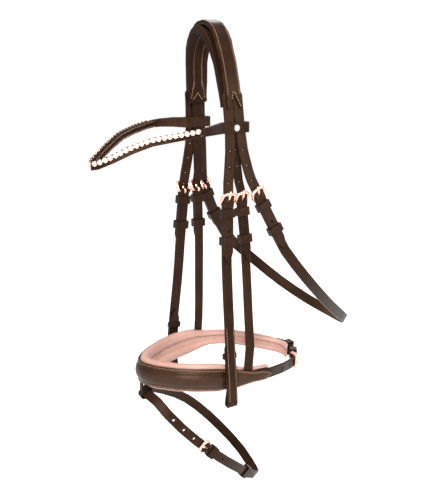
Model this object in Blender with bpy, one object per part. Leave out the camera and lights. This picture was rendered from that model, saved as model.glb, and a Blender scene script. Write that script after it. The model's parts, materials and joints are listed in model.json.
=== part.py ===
# Horse bridle with a padded crown, a jewelled browband and a raised noseband with a flash strap.
# Metres. +Z is up, the nose points along -Y, and the near (left) side of the head is +X.
# The origin is the poll seat, under the middle of the crown pad.

import math

import bmesh
import bpy
from mathutils import Matrix, Vector

# Leather stock and clearances
STRAP_THICKNESS = 0.0032
BILLET_THICKNESS = 0.0028
KEEPER_THICKNESS = 0.0016
EDGE_ROUND = 0.0007
GAP = 0.0003
RUNNER_PLAY = 0.0005

# Spacing of the sections along a strap
STATION_STEP = 0.022
STATION_NEAR = 0.003
STATION_TURN = math.radians(16.0)
CROWN_TURN = math.radians(11.0)
FINE_STEP = 0.002

# Strap widths
CHEEK_WIDTH = 0.0125
THROAT_WIDTH = 0.0125
HANGER_WIDTH = 0.0110
CHIN_WIDTH = 0.0130
FLASH_WIDTH = 0.0115

# Buckles: wire frame, tongue, and the folded leather eye that holds the bar
BAR_RADIUS = 0.00115
TONGUE_RADIUS = 0.0009
EYE_CLEARANCE = 0.0003
EYE_WALL = 0.0016
EYE_SIDES = 12
FRAME_PLAY = 0.0005
FRAME_SIDE = 0.0086
FRAME_ARCH = 0.0024
FRAME_LIFT = 0.0058
FRAME_CORNER = 0.0015
SHARP_CORNER = math.radians(40.0)
SLOT_WIDTH = 0.0036
SLOT_BELOW = 0.0036
SLOT_ABOVE = 0.0042
TONGUE_PLAY = 0.00025
TONGUE_OVERHANG = 0.0018
TONGUE_KNEE = (0.0030, 0.0029)
TONGUE_RISE = (0.0058, 0.0059)
TONGUE_WRAP = math.radians(280.0)
TONGUE_WRAP_POINTS = 7

# Billets: their rise over the buckle, their tips and their punched holes
BILLET_REST = 0.0020
BILLET_RISE_START = 0.0220
BILLET_UNDER_FRAME = 0.0029
BILLET_AT_TONGUE = (0.0040, 0.0043)
BILLET_CREST = 0.0015
BILLET_DOWN = 0.0058
TIP_LENGTH = 0.0130
TIP_END = 0.0016
TIP_SHOULDER_SHARE = 0.55
TIP_WIDTH_SHARE = 0.72
HOLE_RADIUS = 0.0016
HOLE_PITCH = 0.0175
HOLE_SIDES = 8
ENGAGED_HOLE = 0.0040
ENGAGED_LENGTH = 0.0092
ENGAGED_WIDTH = 0.0030

# Along a buckled strap, measured down from the buckle's bar
KEEPER_DROP = 0.0112
RUNNER_DROP = 0.0420
TIP_DROP = 0.0670
KEEPER_HEIGHT = 0.0092
KEEPER_CORNER = 0.0011

# Crown: the head's outline from poll to cheek at the leather's mid-line, as (x, z)
CROWN_LINE = [
    (0.0000, 0.0113),
    (0.0115, 0.0085),
    (0.0215, -0.0020),
    (0.0285, -0.0150),
    (0.0332, -0.0320),
    (0.0358, -0.0520),
    (0.0375, -0.0760),
    (0.0390, -0.0960),
]

# How far back the crown's middle lies, as (z, y)
CROWN_LEAN = [
    (-0.0960, 0.0040),
    (-0.0600, 0.0018),
    (-0.0400, -0.0003),
    (-0.0150, -0.0025),
    (0.0113, -0.0030),
]
CROWN_THICKNESS = 0.0030
CROWN_LIFT = 0.0021
CROWN_WIDTH = 0.0190
CROWN_FOOT_WIDTH = 0.0256
CROWN_EAR_Z = (-0.0630, -0.0560)
CROWN_SLIT_Z = -0.0660
CROWN_SLIT = 0.0005
CROWN_JOIN = 0.0050
FACING_THICKNESS = 0.0020
FACING_MARGIN = 0.0003
FACING_TIP_Z = -0.0765
FACING_NOTCH_Z = -0.0590
HEADSTRAP_THICKNESS = 0.0024

# Crown pad: two soft rolls with a channel between them, rising beside the crown over the poll
PAD_WIDTH = 0.0330
PAD_ROLL = 0.0088
PAD_CHANNEL = 0.0040
PAD_LIP = 0.0030
PAD_LIP_Z = (-0.0480, -0.0200)
PAD_SIDE_Z = (-0.0250, 0.0060)
PAD_SIDE_WIDTH = 0.0282
PAD_SIDE_ROLL = 0.0056
PAD_TAPER_Z = (-0.0740, -0.0400)
PAD_END_Z = -0.0740
PAD_END_WIDTH = 0.0262
PAD_END_ROLL = 0.0032
PAD_CREST_SHARE = 0.25
PAD_CHANNEL_SHARE = 0.08
PAD_CHEEK_SHARE = 0.5
PAD_TURN_SHARE = 0.7

# Straps down the sides of the head, as (x, y, z) with x outwards, the fourth point at the buckle
BUCKLE_POINT = 3
CHEEK_TOP = [
    (0.0390, -0.0025, -0.0960),
    (0.0410, -0.0034, -0.1280),
    (0.0438, -0.0076, -0.1560),
    (0.0454, -0.0093, -0.1770),
    (0.0490, -0.0116, -0.2180),
    (0.0508, -0.0129, -0.2390),
]
CHEEK_FOOT = {
    1: [
        (0.0536, -0.0134, -0.2700),
        (0.0580, -0.0143, -0.3080),
        (0.0646, -0.0154, -0.3560),
        (0.0672, -0.0153, -0.3840),
        (0.0682, -0.0150, -0.4090),
    ],
    -1: [
        (-0.0542, -0.0134, -0.2700),
        (-0.0598, -0.0144, -0.3080),
        (-0.0675, -0.0158, -0.3560),
        (-0.0702, -0.0162, -0.3840),
        (-0.0718, -0.0163, -0.4090),
    ],
}
HANGER_TOP = [
    (0.0390, 0.0040, -0.0960),
    (0.0412, 0.0060, -0.1280),
    (0.0438, 0.0083, -0.1560),
    (0.0454, 0.0094, -0.1770),
    (0.0484, 0.0122, -0.2180),
    (0.0499, 0.0134, -0.2390),
]
HANGER_MIDDLE = {1: (0.0562, 0.0135, -0.3050), -1: (-0.0550, 0.0160, -0.3000)}
THROAT_TOP = {
    1: [
        (0.0390, 0.0105, -0.0960),
        (0.0415, 0.0150, -0.1280),
        (0.0464, 0.0222, -0.1560),
        (0.0497, 0.0302, -0.1740),
        (0.0568, 0.0487, -0.2130),
        (0.0605, 0.0587, -0.2340),
    ],
    -1: [
        (0.0390, 0.0105, -0.0960),
        (0.0422, 0.0142, -0.1280),
        (0.0488, 0.0190, -0.1560),
        (0.0535, 0.0245, -0.1765),
        (0.0602, 0.0440, -0.2140),
        (0.0630, 0.0555, -0.2345),
    ],
}
THROAT_LOOP = [
    (0.0618, 0.0790, -0.2600),
    (0.0555, 0.1090, -0.2900),
    (0.0370, 0.1510, -0.3245),
    (0.0170, 0.1890, -0.3515),
    (0.0090, 0.2030, -0.3615),
    (0.0030, 0.2075, -0.3650),
    (-0.0040, 0.2065, -0.3643),
    (-0.0120, 0.2010, -0.3600),
    (-0.0340, 0.1800, -0.3450),
    (-0.0540, 0.1440, -0.3160),
    (-0.0640, 0.1080, -0.2840),
    (-0.0650, 0.0790, -0.2590),
]
THROAT_SIDE_ACROSS = Vector((0.0, 0.88, 0.47))
THROAT_REAR_ACROSS = Vector((0.0, 0.62, 0.79))
THROAT_LEAN_Y = (0.016, 0.048)
THROAT_TURN_Y = (0.080, 0.170)
BUCKLE_Z = CHEEK_TOP[BUCKLE_POINT][2]
THROAT_BUCKLE_Z = {side: top[BUCKLE_POINT][2] for side, top in THROAT_TOP.items()}

# Bit ends of the cheekpieces: a loop for the bit, turned up inside and hooked on a stud.
# The rises are heights above the turn.
BIT_TURN_Z = -0.4060
BIT_LOOP_OPENING = 0.0050
BIT_LEAF_THICKNESS = 0.0022
BIT_LEAF_RISE = 0.0780
BIT_CLOSE_RISE = 0.0150
BIT_THIN_RISE = 0.0180
BIT_STUD_RISE = 0.0455
BIT_KEEPER_OFFSETS = (0.0115, -0.0135)
BIT_KEEPER_HEIGHT = 0.0064
BIT_KEEPER_LAP = 0.0026
BIT_LEAN_SHARE = 0.35
STUD_SHANK = 0.0011
STUD_HEAD = 0.0026
STUD_HEAD_THICKNESS = 0.0012
STUD_HOLE = 0.0016
STUD_STEPS = 12

# Browband: mid-line of the strap from the near loop to the front, as (x, y, z)
BROW_LINE = [
    (0.0397, 0.0240, -0.0960),
    (0.0397, 0.0040, -0.0960),
    (0.0415, -0.0130, -0.0960),
    (0.0505, -0.0270, -0.0958),
    (0.0560, -0.0430, -0.0970),
    (0.0523, -0.0623, -0.0999),
    (0.0434, -0.0803, -0.1031),
    (0.0335, -0.0980, -0.1071),
    (0.0239, -0.1148, -0.1146),
    (0.0132, -0.1335, -0.1247),
    (0.0058, -0.1438, -0.1298),
    (0.0000, -0.1473, -0.1310),
]
BROW_Z = -0.0960
BROW_WIDTH = 0.0090
BROW_NARROW_WIDTH = 0.0082
BROW_THICKNESS = 0.0022
BROW_LINING_THICKNESS = 0.0014
BROW_LINING_WIDTH = 0.0078
BROW_LOOP_THICKNESS = 0.0015
BROW_LOOP_WIDTH = 0.0115
BROW_LOOP_PLAY = 0.0010
BROW_STRAP_START = 0.0400
BROW_TAIL_END = 0.0752
BROW_INNER_TAIL_END = 0.0715
BROW_TAIL_TAPER = 0.0330
BADGE_RADIUS = 0.0037
BADGE_RISE = 0.0012
BADGE_CROWN_SHARE = 0.72

# Crystal chain along the browband's upper edge, with as many stones as fit between the tails
CRYSTAL_PITCH = 0.00587
CRYSTAL_RADIUS = 0.0026
CRYSTAL_TABLE = 0.0013
CRYSTAL_CUP = 0.0014
CRYSTAL_CROWN = 0.0011
CRYSTAL_SIDES = 6
CHAIN_WIDTH = 0.0020
CHAIN_THICKNESS = 0.0008
CHAIN_RISE = 0.0023

# Noseband in its own frame, level and square to the nose: the lining's outer face from the front
# to each cheek, as (x, y, z) on the near side at the strap's mid-height
NOSE_FRONT_LINE = [
    (0.0000, -0.0886, -0.3760),
    (0.0185, -0.0775, -0.3760),
    (0.0360, -0.0540, -0.3760),
    (0.0495, -0.0225, -0.3760),
    (0.0575, 0.0120, -0.3765),
    (0.0560, 0.0440, -0.3784),
]

# Its rear, from the near cheek past the chin buckle's bar to the far cheek
NOSE_REAR_LINE = [
    (0.0480, 0.0655, -0.3810),
    (0.0384, 0.0826, -0.3840),
    (0.0300, 0.0922, -0.3853),
    (0.0205, 0.0993, -0.3856),
    (0.0106, 0.1052, -0.3854),
    (0.0045, 0.1080, -0.3852),
    (-0.0060, 0.1095, -0.3850),
    (-0.0170, 0.1050, -0.3850),
    (-0.0265, 0.0972, -0.3848),
    (-0.0335, 0.0880, -0.3836),
    (-0.0395, 0.0780, -0.3822),
    (-0.0455, 0.0680, -0.3806),
]
NOSE_BAR_POINT = 3
NOSE_YAW = math.radians(7.0)
NOSE_ROLL = math.radians(4.3)
NOSE_PIVOT_Z = -0.3640
NOSE_STRAP_THICKNESS = 0.0026
NOSE_RUNNER_DROP = 0.0305
NOSE_RUNNER_PLAY = 0.0009
NOSE_TIP_DROP = 0.0580
NOSE_FRONT_THICKNESS = 0.0020
NOSE_FRONT_HEIGHT = 0.0270
NOSE_FRONT_FOOT = 0.0132
NOSE_FRONT_REACH = 0.1590
NOSE_FRONT_TAPER = (0.100, 0.138)
NOSE_ROLL_RISE = 0.0030
NOSE_ROLL_TAPER = (0.092, 0.128)

# The raised roll's section, as shares of half its height and of its rise
NOSE_ROLL_SHARES = [(0.70, 0.06), (0.60, 0.36), (0.42, 0.74), (0.16, 1.0)]

# The padded lining, with its channel and the seat that the strap lies in
LINING_HEIGHT = 0.0350
LINING_FOOT = 0.0190
LINING_TAPER = (0.088, 0.136)
LINING_ROLL = 0.0062
LINING_CHANNEL = 0.0042
LINING_SWELL = 0.0027
LINING_MARGIN = 0.0007
LINING_RECESS = 0.0032
LINING_RECESS_DROP = (0.040, 0.052)
LINING_FAR_DROP = 0.0180
LINING_NEAR_REACH = 0.1560
LINING_SLIM_SHARE = 0.35

# The lining's inner roll, as shares of half its height and of its depth, and its outer swell
LINING_ROLL_SHARES = [(1.0, 0.35), (0.92, 0.78), (0.62, 1.0), (0.38, 0.92)]
LINING_CHANNEL_SHARE = 0.22
LINING_EDGE_SHARE = 0.55
LINING_SEAM_SHARE = 0.8

# Hangers: where they meet the noseband, and the room that the lining leaves them
HANGER_SEAT_Y = {1: 0.0180, -1: 0.0080}
HANGER_FOOT_RISES = (0.034, 0.020)
HANGER_TUCK_RISE = 0.030
HANGER_TUCK_THICKNESS = 0.0024
HANGER_NOTCH = 0.0075
HANGER_NOTCH_EASE = 0.0060

# Flash strap in the noseband's own frame, from its bar down, round the far side and up again
FLASH_LINE = [
    (0.0420, -0.0245, -0.4700),
    (0.0415, -0.0135, -0.4810),
    (0.0395, 0.0005, -0.4945),
    (0.0350, 0.0155, -0.5080),
    (0.0255, 0.0355, -0.5270),
    (0.0165, 0.0525, -0.5430),
    (0.0090, 0.0640, -0.5525),
    (-0.0010, 0.0700, -0.5560),
    (-0.0130, 0.0690, -0.5500),
    (-0.0270, 0.0590, -0.5310),
    (-0.0380, 0.0340, -0.4990),
    (-0.0420, 0.0060, -0.4680),
    (-0.0390, -0.0190, -0.4450),
    (-0.0290, -0.0460, -0.4260),
    (-0.0180, -0.0710, -0.4110),
    (-0.0065, -0.0850, -0.4046),
    (0.0065, -0.0855, -0.4042),
    (0.0185, -0.0790, -0.4090),
    (0.0300, -0.0675, -0.4250),
    (0.0385, -0.0520, -0.4430),
    (0.0415, -0.0370, -0.4585),
]
FLASH_ACROSS = Vector((0.0, 0.69, 0.72))
FLASH_STRAP_THICKNESS = 0.0026
FLASH_BILLET_THICKNESS = 0.0022
FLASH_RUNNER_DROP = 0.0920
FLASH_TIP_DROP = 0.1180
FLASH_LOOP_CENTRE = Vector((0.0, -0.0856, -0.4045))
FLASH_LOOP_WIDTH = 0.0105
FLASH_LOOP_WALL = 0.0013
FLASH_LOOP_OPENING = 0.0054
FLASH_LOOP_LENGTH = 0.0138
FLASH_TAB_WIDTH = 0.0080
FLASH_TAB_THICKNESS = 0.0014
FLASH_TAB_DROP = (0.0074, 0.0280)
FLASH_NOTCH = 0.0085

LEATHER = (0.060, 0.032, 0.021)
SOFT_LEATHER = (0.045, 0.026, 0.019)
LINING_PINK = (0.78, 0.47, 0.40)
ROSE_GOLD = (0.86, 0.47, 0.36)
CRYSTAL = (0.90, 0.74, 0.62)

SIDES = {1: "near", -1: "far"}
UP = Vector((0.0, 0.0, 1.0))
BACK = Vector((0.0, 1.0, 0.0))
EYE_RADIUS = BAR_RADIUS + EYE_CLEARANCE + EYE_WALL


def clear_scene():
    for thing in list(bpy.data.objects):
        bpy.data.objects.remove(thing, do_unlink=True)


def new_collection(name):
    group = bpy.data.collections.new(name)
    bpy.context.scene.collection.children.link(group)
    return group


def finish(name, colour, roughness, metallic):
    made = bpy.data.materials.new(name)
    made.use_nodes = True
    shader = made.node_tree.nodes["Principled BSDF"]
    shader.inputs["Base Color"].default_value = (*colour, 1.0)
    shader.inputs["Roughness"].default_value = roughness
    shader.inputs["Metallic"].default_value = metallic
    return made


def leather(name):
    return finish(name, LEATHER, 0.42, 0.0)


def soft_leather(name):
    return finish(name, SOFT_LEATHER, 0.60, 0.0)


def pink_lining(name):
    return finish(name, LINING_PINK, 0.62, 0.0)


def rose_gold(name):
    return finish(name, ROSE_GOLD, 0.22, 1.0)


def crystal(name):
    return finish(name, CRYSTAL, 0.08, 0.6)


def link(data, name, coat, place=None):
    """Adds a piece of the bridle, or a cutter where it has no finish."""
    made = bpy.data.objects.new(name, data)
    if coat is None:
        made.hide_render = True
        made.display_type = "WIRE"
        cutters.objects.link(made)
    else:
        data.materials.append(coat(name))
        bridle.objects.link(made)
    if place is not None:
        made.matrix_world = place
    return made


def change(target, other, operation):
    step = target.modifiers.new(other.name, "BOOLEAN")
    step.operation = operation
    step.solver = "EXACT"
    step.object = other


def share(low, high, value):
    return (value - low) / (high - low)


def blend(a, b, part):
    return a + (b - a) * part


def eased(low, high, value):
    part = min(1.0, max(0.0, share(low, high, value)))
    return part * part * (3 - 2 * part)


def table(rows, value):
    """A value read from rows of (at, value), straight between them and level beyond them."""
    if value <= rows[0][0]:
        return rows[0][1]
    for (a, low), (b, high) in zip(rows, rows[1:]):
        if value <= b:
            return blend(low, high, share(a, b, value))
    return rows[-1][1]


def at(value, s):
    return value(s) if callable(value) else value


def mirrored(points):
    return [(-x, y, z) for x, y, z in points]


def sided(points, side):
    return points if side > 0 else mirrored(points)


def smooth_through(points):
    """Closely spaced points on a centripetal spline through the given ones."""
    points = [Vector(p) for p in points]
    if (points[0] - points[-1]).length < GAP:
        ends = [points[-2], *points, points[1]]
    else:
        ends = [points[0] * 2 - points[1], *points, points[-1] * 2 - points[-2]]
    found = [points[0].copy()]
    for corners in zip(ends, ends[1:], ends[2:], ends[3:]):
        knots = [0.0]
        for a, b in zip(corners, corners[1:]):
            knots.append(knots[-1] + math.sqrt((b - a).length))
        count = max(1, math.ceil((corners[2] - corners[1]).length / FINE_STEP))
        for i in range(1, count + 1):
            found.append(spline_point(corners, knots, blend(knots[1], knots[2], i / count)))
    return found


def spline_point(corners, knots, t):
    """The point at t on the spline, by three rounds of blending."""
    level = list(corners)
    for spans in (((0, 1), (1, 2), (2, 3)), ((0, 2), (1, 3)), ((1, 2),)):
        pairs = zip(level, level[1:], spans)
        level = [blend(a, b, share(knots[low], knots[high], t)) for a, b, (low, high) in pairs]
    return level[0]


class Route:
    """A strap's mid-line, with the way across the strap and the way out from the head."""

    def __init__(self, points, across, centre=None, turn=STATION_TURN):
        self.points = points
        self.across = across
        self.closed = (points[0] - points[-1]).length < GAP
        self.lengths = [0.0]
        for a, b in zip(points, points[1:]):
            self.lengths.append(self.lengths[-1] + (b - a).length)
        self.length = self.lengths[-1]
        self.side = 1.0
        middle = self.point(self.length / 2)
        away = middle - (centre or Vector((0.0, 0.0, middle.z)))
        if self.frame(self.length / 2)[2].dot(away) < 0:
            self.side = -1.0
        self.marks = self.find_marks(turn)

    def find_marks(self, turn):
        """Where sections are needed, closer together round the bends."""
        marks, turned = [0.0], 0.0
        for i in range(1, len(self.points) - 1):
            before = self.points[i] - self.points[i - 1]
            after = self.points[i + 1] - self.points[i]
            turned += before.angle(after, 0.0)
            far = self.lengths[i] - marks[-1]
            if turned > turn or far > STATION_STEP:
                marks.append(self.lengths[i])
                turned = 0.0
        return marks + [self.length]

    def locate(self, s):
        if self.closed:
            s = s % self.length
        s = min(max(s, 0.0), self.length)
        low, high = 0, len(self.lengths) - 1
        while high - low > 1:
            middle = (low + high) // 2
            if self.lengths[middle] <= s:
                low = middle
            else:
                high = middle
        return low, share(self.lengths[low], self.lengths[low + 1], s)

    def point(self, s):
        i, part = self.locate(s)
        return blend(self.points[i], self.points[i + 1], part)

    def tangent(self, s):
        low, high = s - FINE_STEP, s + FINE_STEP
        if not self.closed:
            low, high = max(0.0, low), min(self.length, high)
        return (self.point(high) - self.point(low)).normalized()

    def frame(self, s):
        """The place, the way across and the way out at a distance along the line."""
        along = self.tangent(s)
        origin = self.point(s)
        reference = self.across(origin) if callable(self.across) else self.across
        across = (reference - along * reference.dot(along)).normalized()
        return origin, across, along.cross(across) * self.side

    def place(self, s, shift=0.0, lift=0.0):
        origin, across, out = self.frame(s)
        return origin + across * shift + out * lift

    def matrix(self, s, shift=0.0, lift=0.0):
        """A frame with X across the strap, Y back along it and Z outwards."""
        across, out = self.frame(s)[1:]
        across = across * self.side
        turned = Matrix((across, out.cross(across), out)).transposed().to_4x4()
        return Matrix.Translation(self.place(s, shift, lift)) @ turned

    def stations(self, start, end, extra=()):
        marks = list(self.marks)
        if self.closed:
            marks += [s + self.length for s in self.marks[1:]]
        kept = sorted({start, end, *(s for s in extra if start < s < end)})
        marks = [s for s in marks if start < s < end and all(abs(s - k) > STATION_NEAR for k in kept)]
        return sorted(kept + marks)

    def at_height(self, z):
        """How far along the line it first comes down to a height."""
        for i, (a, b) in enumerate(zip(self.points, self.points[1:])):
            if a.z >= z > b.z:
                return blend(self.lengths[i], self.lengths[i + 1], share(a.z, b.z, z))
        return self.length

    def raised(self, lift):
        """The same line moved outwards."""
        points = [self.place(s, lift=lift) for s in self.lengths]
        if self.closed:
            points[-1] = points[0].copy()
        return Route(points, self.across, sum(self.points, Vector()) / len(self.points))


def sweep(name, frames, sections, coat):
    """A closed solid made by extruding a section from frame to frame."""
    form = bmesh.new()
    first = [form.verts.new(p) for p in laid(frames[0], sections[0])]
    face = form.faces.new(first)
    for frame, section in zip(frames[1:], sections[1:]):
        face = bmesh.ops.extrude_discrete_faces(form, faces=[face])["faces"][0]
        for corner, place in zip(face.verts, laid(frame, section)):
            corner.co = place
    form.faces.new(first)
    bmesh.ops.recalc_face_normals(form, faces=form.faces)
    origin = frames[0][0]
    bmesh.ops.translate(form, verts=form.verts, vec=-origin)
    return link(mesh_of(form, name), name, coat, Matrix.Translation(origin))


def laid(frame, section):
    origin, across, out = frame
    return [origin + across * a + out * n for a, n in section]


def mesh_of(form, name):
    mesh = bpy.data.meshes.new(name)
    form.to_mesh(mesh)
    form.free()
    return mesh


def flat_section(width, thickness, lift=0.0):
    """A strap's cross-section with its edges taken off, as (across, out)."""
    a, n = width / 2, thickness / 2
    e = min(EDGE_ROUND, a / 2, n / 2)
    corners = [(a - e, n), (a, n - e), (a, e - n), (a - e, -n)]
    corners += [(e - a, -n), (-a, e - n), (-a, n - e), (e - a, n)]
    return [(across, out + lift) for across, out in corners]


def strap(name, line, stations, width, thickness, lift=0.0, coat=leather):
    frames = [line.frame(s) for s in stations]
    sections = [flat_section(at(width, s), at(thickness, s), at(lift, s)) for s in stations]
    return sweep(name, frames, sections, coat)


def prism(name, places, outline, depth, coat=None):
    """One outline extruded both ways from each place, with Z as the way through."""
    form = bmesh.new()
    for place in places:
        ring = [form.verts.new(place @ Vector((x, y, -depth / 2))) for x, y in outline]
        base = form.faces.new(ring)
        made = bmesh.ops.extrude_face_region(form, geom=[base])["geom"]
        moved = [v for v in made if isinstance(v, bmesh.types.BMVert)]
        way = place.to_3x3() @ Vector((0.0, 0.0, depth))
        bmesh.ops.translate(form, verts=moved, vec=way)
    bmesh.ops.recalc_face_normals(form, faces=form.faces)
    return link(mesh_of(form, name), name, coat)


def circle(radius, sides, stretch=0.0):
    """A round outline, or a slot's where its halves are stretched apart along Y."""
    points = []
    for i in range(sides):
        turn = 2 * math.pi * (i + 0.5) / sides
        x, y = radius * math.cos(turn), radius * math.sin(turn)
        points.append((x, y + math.copysign(stretch, y)))
    return points


def box(width, height):
    x, y = width / 2, height / 2
    return [(x, y), (-x, y), (-x, -y), (x, -y)]


def across_bar(place):
    """Turns a place on a strap so that Z runs along the buckle's bar."""
    return place @ Matrix.Rotation(math.pi / 2, 4, "Y")


def tip_width(width, left):
    """The width of a strap that ends in a point, at a distance from its end."""
    shoulder = TIP_LENGTH * TIP_SHOULDER_SHARE
    return table([(0.0, TIP_END), (shoulder, width * TIP_WIDTH_SHARE), (TIP_LENGTH, width)], left)


def tip_marks(end, way=1):
    return [end - way * TIP_LENGTH, end - way * TIP_LENGTH * TIP_SHOULDER_SHARE]


def lay_lift(strap_thickness, billet_thickness):
    """How high a billet's middle lies over the middle of the strap beneath it."""
    return (strap_thickness + billet_thickness) / 2 + GAP


def billet_rows(rest, strap_thickness, billet_thickness):
    """A billet's lift by its height above the bar: under the frame, over the eye and down."""
    over = EYE_RADIUS + GAP + billet_thickness / 2
    lay = lay_lift(strap_thickness, billet_thickness)
    return [
        (-BILLET_DOWN, lay),
        (-BILLET_CREST, over - GAP / 2),
        (BILLET_CREST, over),
        BILLET_AT_TONGUE,
        (FRAME_SIDE, BILLET_UNDER_FRAME),
        (BILLET_RISE_START, rest),
    ]


def billet_marks(bar, way=1):
    marks = (-BILLET_DOWN, -BILLET_CREST, BILLET_CREST, BILLET_AT_TONGUE[0], FRAME_SIDE, BILLET_RISE_START)
    return [bar - way * mark for mark in marks]


def punch(target, line, bar, above, below, lift, way=1):
    """The holes of a billet: the long one that the tongue is through, and the spare ones."""
    through = STRAP_THICKNESS * 2
    spots = [ENGAGED_HOLE + HOLE_PITCH * i for i in range(-below, above + 1)]
    spare = []
    for spot in spots:
        s = bar - way * spot
        if spot == ENGAGED_HOLE:
            outline = circle(ENGAGED_WIDTH / 2, HOLE_SIDES, (ENGAGED_LENGTH - ENGAGED_WIDTH) / 2)
            place = line.matrix(s, lift=at(lift, s))
            change(target, prism(target.name + "_slot_cut", [place], outline, through * 2), "DIFFERENCE")
        else:
            spare.append(line.matrix(s, lift=at(lift, s)))
    cut = prism(target.name + "_hole_cut", spare, circle(HOLE_RADIUS, HOLE_SIDES), through)
    change(target, cut, "DIFFERENCE")


def eye(target, line, bar, width):
    """Rolls the end of a strap round the bar: a barrel with a bore, open for the tongue."""
    place = line.matrix(bar)
    turned = across_bar(place)
    name = target.name + ("_eye" if bar < line.length / 2 else "_far_eye")
    barrel = prism(name + "_barrel", [turned], circle(EYE_RADIUS, EYE_SIDES), width - GAP)
    change(target, barrel, "UNION")
    bore = prism(name + "_bore_cut", [turned], circle(BAR_RADIUS + EYE_CLEARANCE, EYE_SIDES), width * 2)
    change(target, bore, "DIFFERENCE")
    middle = place @ Matrix.Translation((0.0, (SLOT_ABOVE - SLOT_BELOW) / 2, 0.0))
    slot = prism(name + "_slot_cut", [middle], box(SLOT_WIDTH, SLOT_ABOVE + SLOT_BELOW), EYE_RADIUS * 4)
    change(target, slot, "DIFFERENCE")


def wire(name, points, radius, cyclic, coat, place):
    curve = bpy.data.curves.new(name, "CURVE")
    curve.dimensions = "3D"
    curve.bevel_depth = radius
    curve.bevel_resolution = 2
    curve.use_fill_caps = not cyclic
    spline = curve.splines.new("POLY")
    spline.points.add(len(points) - 1)
    for target, point in zip(spline.points, points):
        target.co = (*point, 1.0)
    spline.use_cyclic_u = cyclic
    return link(curve, name, coat, place)


def rounded(points, bend):
    """A closed outline with its sharp corners turned over three points."""
    found = []
    for before, corner, after in zip(points[-1:] + points[:-1], points, points[1:] + points[:1]):
        if (corner - before).angle(after - corner) < SHARP_CORNER:
            found.append(corner)
            continue
        start = corner + (before - corner).normalized() * bend
        end = corner + (after - corner).normalized() * bend
        found += [start, (start + corner * 2 + end) / 4, end]
    return found


def buckle(name, line, bar, width):
    """A wire frame on its bar, and the tongue that turns on the same bar."""
    place = line.matrix(bar)
    half = width / 2 + FRAME_PLAY + BAR_RADIUS
    corners = [
        Vector((-half, 0.0, 0.0)),
        Vector((half, 0.0, 0.0)),
        Vector((half, FRAME_SIDE, FRAME_LIFT)),
        Vector((0.0, FRAME_SIDE + FRAME_ARCH, FRAME_LIFT)),
        Vector((-half, FRAME_SIDE, FRAME_LIFT)),
    ]
    wire(name + "_frame", rounded(corners, FRAME_CORNER), BAR_RADIUS, True, rose_gold, place)
    turn = BAR_RADIUS + TONGUE_PLAY + TONGUE_RADIUS
    path = []
    for i in range(TONGUE_WRAP_POINTS):
        angle = math.pi / 2 + TONGUE_WRAP * (1 - i / (TONGUE_WRAP_POINTS - 1))
        path.append((0.0, turn * math.cos(angle), turn * math.sin(angle)))
    rest = FRAME_LIFT + BAR_RADIUS + GAP + TONGUE_RADIUS
    reach = FRAME_SIDE + FRAME_ARCH
    path += [(0.0, *TONGUE_KNEE), (0.0, *TONGUE_RISE), (0.0, reach, rest), (0.0, reach + TONGUE_OVERHANG, rest)]
    wire(name + "_tongue", path, TONGUE_RADIUS, False, rose_gold, place)


def outline_plate(name, outlines, thickness, coat, place):
    """A flat piece cut to closed outlines, with its thickness along Z."""
    curve = bpy.data.curves.new(name, "CURVE")
    curve.dimensions = "2D"
    curve.fill_mode = "BOTH"
    curve.extrude = thickness / 2
    for outline in outlines:
        spline = curve.splines.new("POLY")
        spline.points.add(len(outline) - 1)
        for target, (x, y) in zip(spline.points, outline):
            target.co = (x, y, 0.0, 1.0)
        spline.use_cyclic_u = True
    return link(curve, name, coat, place)


def chamfered(low, high, half, corner):
    """A rectangle with its corners taken off, from one height to another."""
    return [
        (half - corner, high), (half, high - corner), (half, low + corner), (half - corner, low),
        (corner - half, low), (-half, low + corner), (-half, high - corner), (corner - half, high),
    ]


def loop_place(line, s):
    """A frame with X across the strap, Y outwards and Z along it."""
    origin, across, out = line.frame(s)
    return Matrix.Translation(origin) @ Matrix((across, out, across.cross(out))).transposed().to_4x4()


def keeper(name, line, s, width, low, high, play):
    """A leather loop round all that lies between two lifts."""
    half = width / 2 + play
    inner = [(half, high + play), (half, low - play), (-half, low - play), (-half, high + play)]
    outer = chamfered(
        low - play - KEEPER_THICKNESS, high + play + KEEPER_THICKNESS, half + KEEPER_THICKNESS, KEEPER_CORNER
    )
    outline_plate(name, [outer, inner], KEEPER_HEIGHT, leather, loop_place(line, s))


def keeper_pair(name, line, bar, width, strap_thickness, billet_thickness, runner_drop, play=RUNNER_PLAY):
    low = -strap_thickness / 2
    high = strap_thickness / 2 + GAP + billet_thickness
    keeper(name + "_keeper", line, bar + KEEPER_DROP, width, low, high, GAP)
    keeper(name + "_runner", line, bar + runner_drop, width, low, high, play)


def crown_y(z):
    return table(CROWN_LEAN, z)


def crown_width(z):
    """The crown's width: narrow over the poll, with a small ear where it widens for its two billets."""
    return blend(CROWN_FOOT_WIDTH, CROWN_WIDTH, eased(*CROWN_EAR_Z, z))


def crown_route():
    near = [(x, crown_y(z), z) for x, z in CROWN_LINE]
    points = smooth_through(mirrored(near[:0:-1]) + near)
    return Route(points, BACK, Vector((0.0, 0.0, CROWN_SLIT_Z)), CROWN_TURN)


def both_ways(heights):
    """Where the crown's line passes some heights, on the far side and on the near side."""
    near = [arch.at_height(z) for z in heights]
    return near + [arch.length - s for s in near]


def side_points(side, offset, top, foot):
    """A billet's line from inside the crown down one side."""
    crown = [(x, crown_y(z) + offset, z) for x, z in CROWN_LINE[-4:-1]]
    return sided(crown + top, side) + foot


def throat_across(point):
    side = blend(BACK, THROAT_SIDE_ACROSS, eased(*THROAT_LEAN_Y, point.y))
    return blend(side, THROAT_REAR_ACROSS, eased(*THROAT_TURN_Y, point.y))


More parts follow.
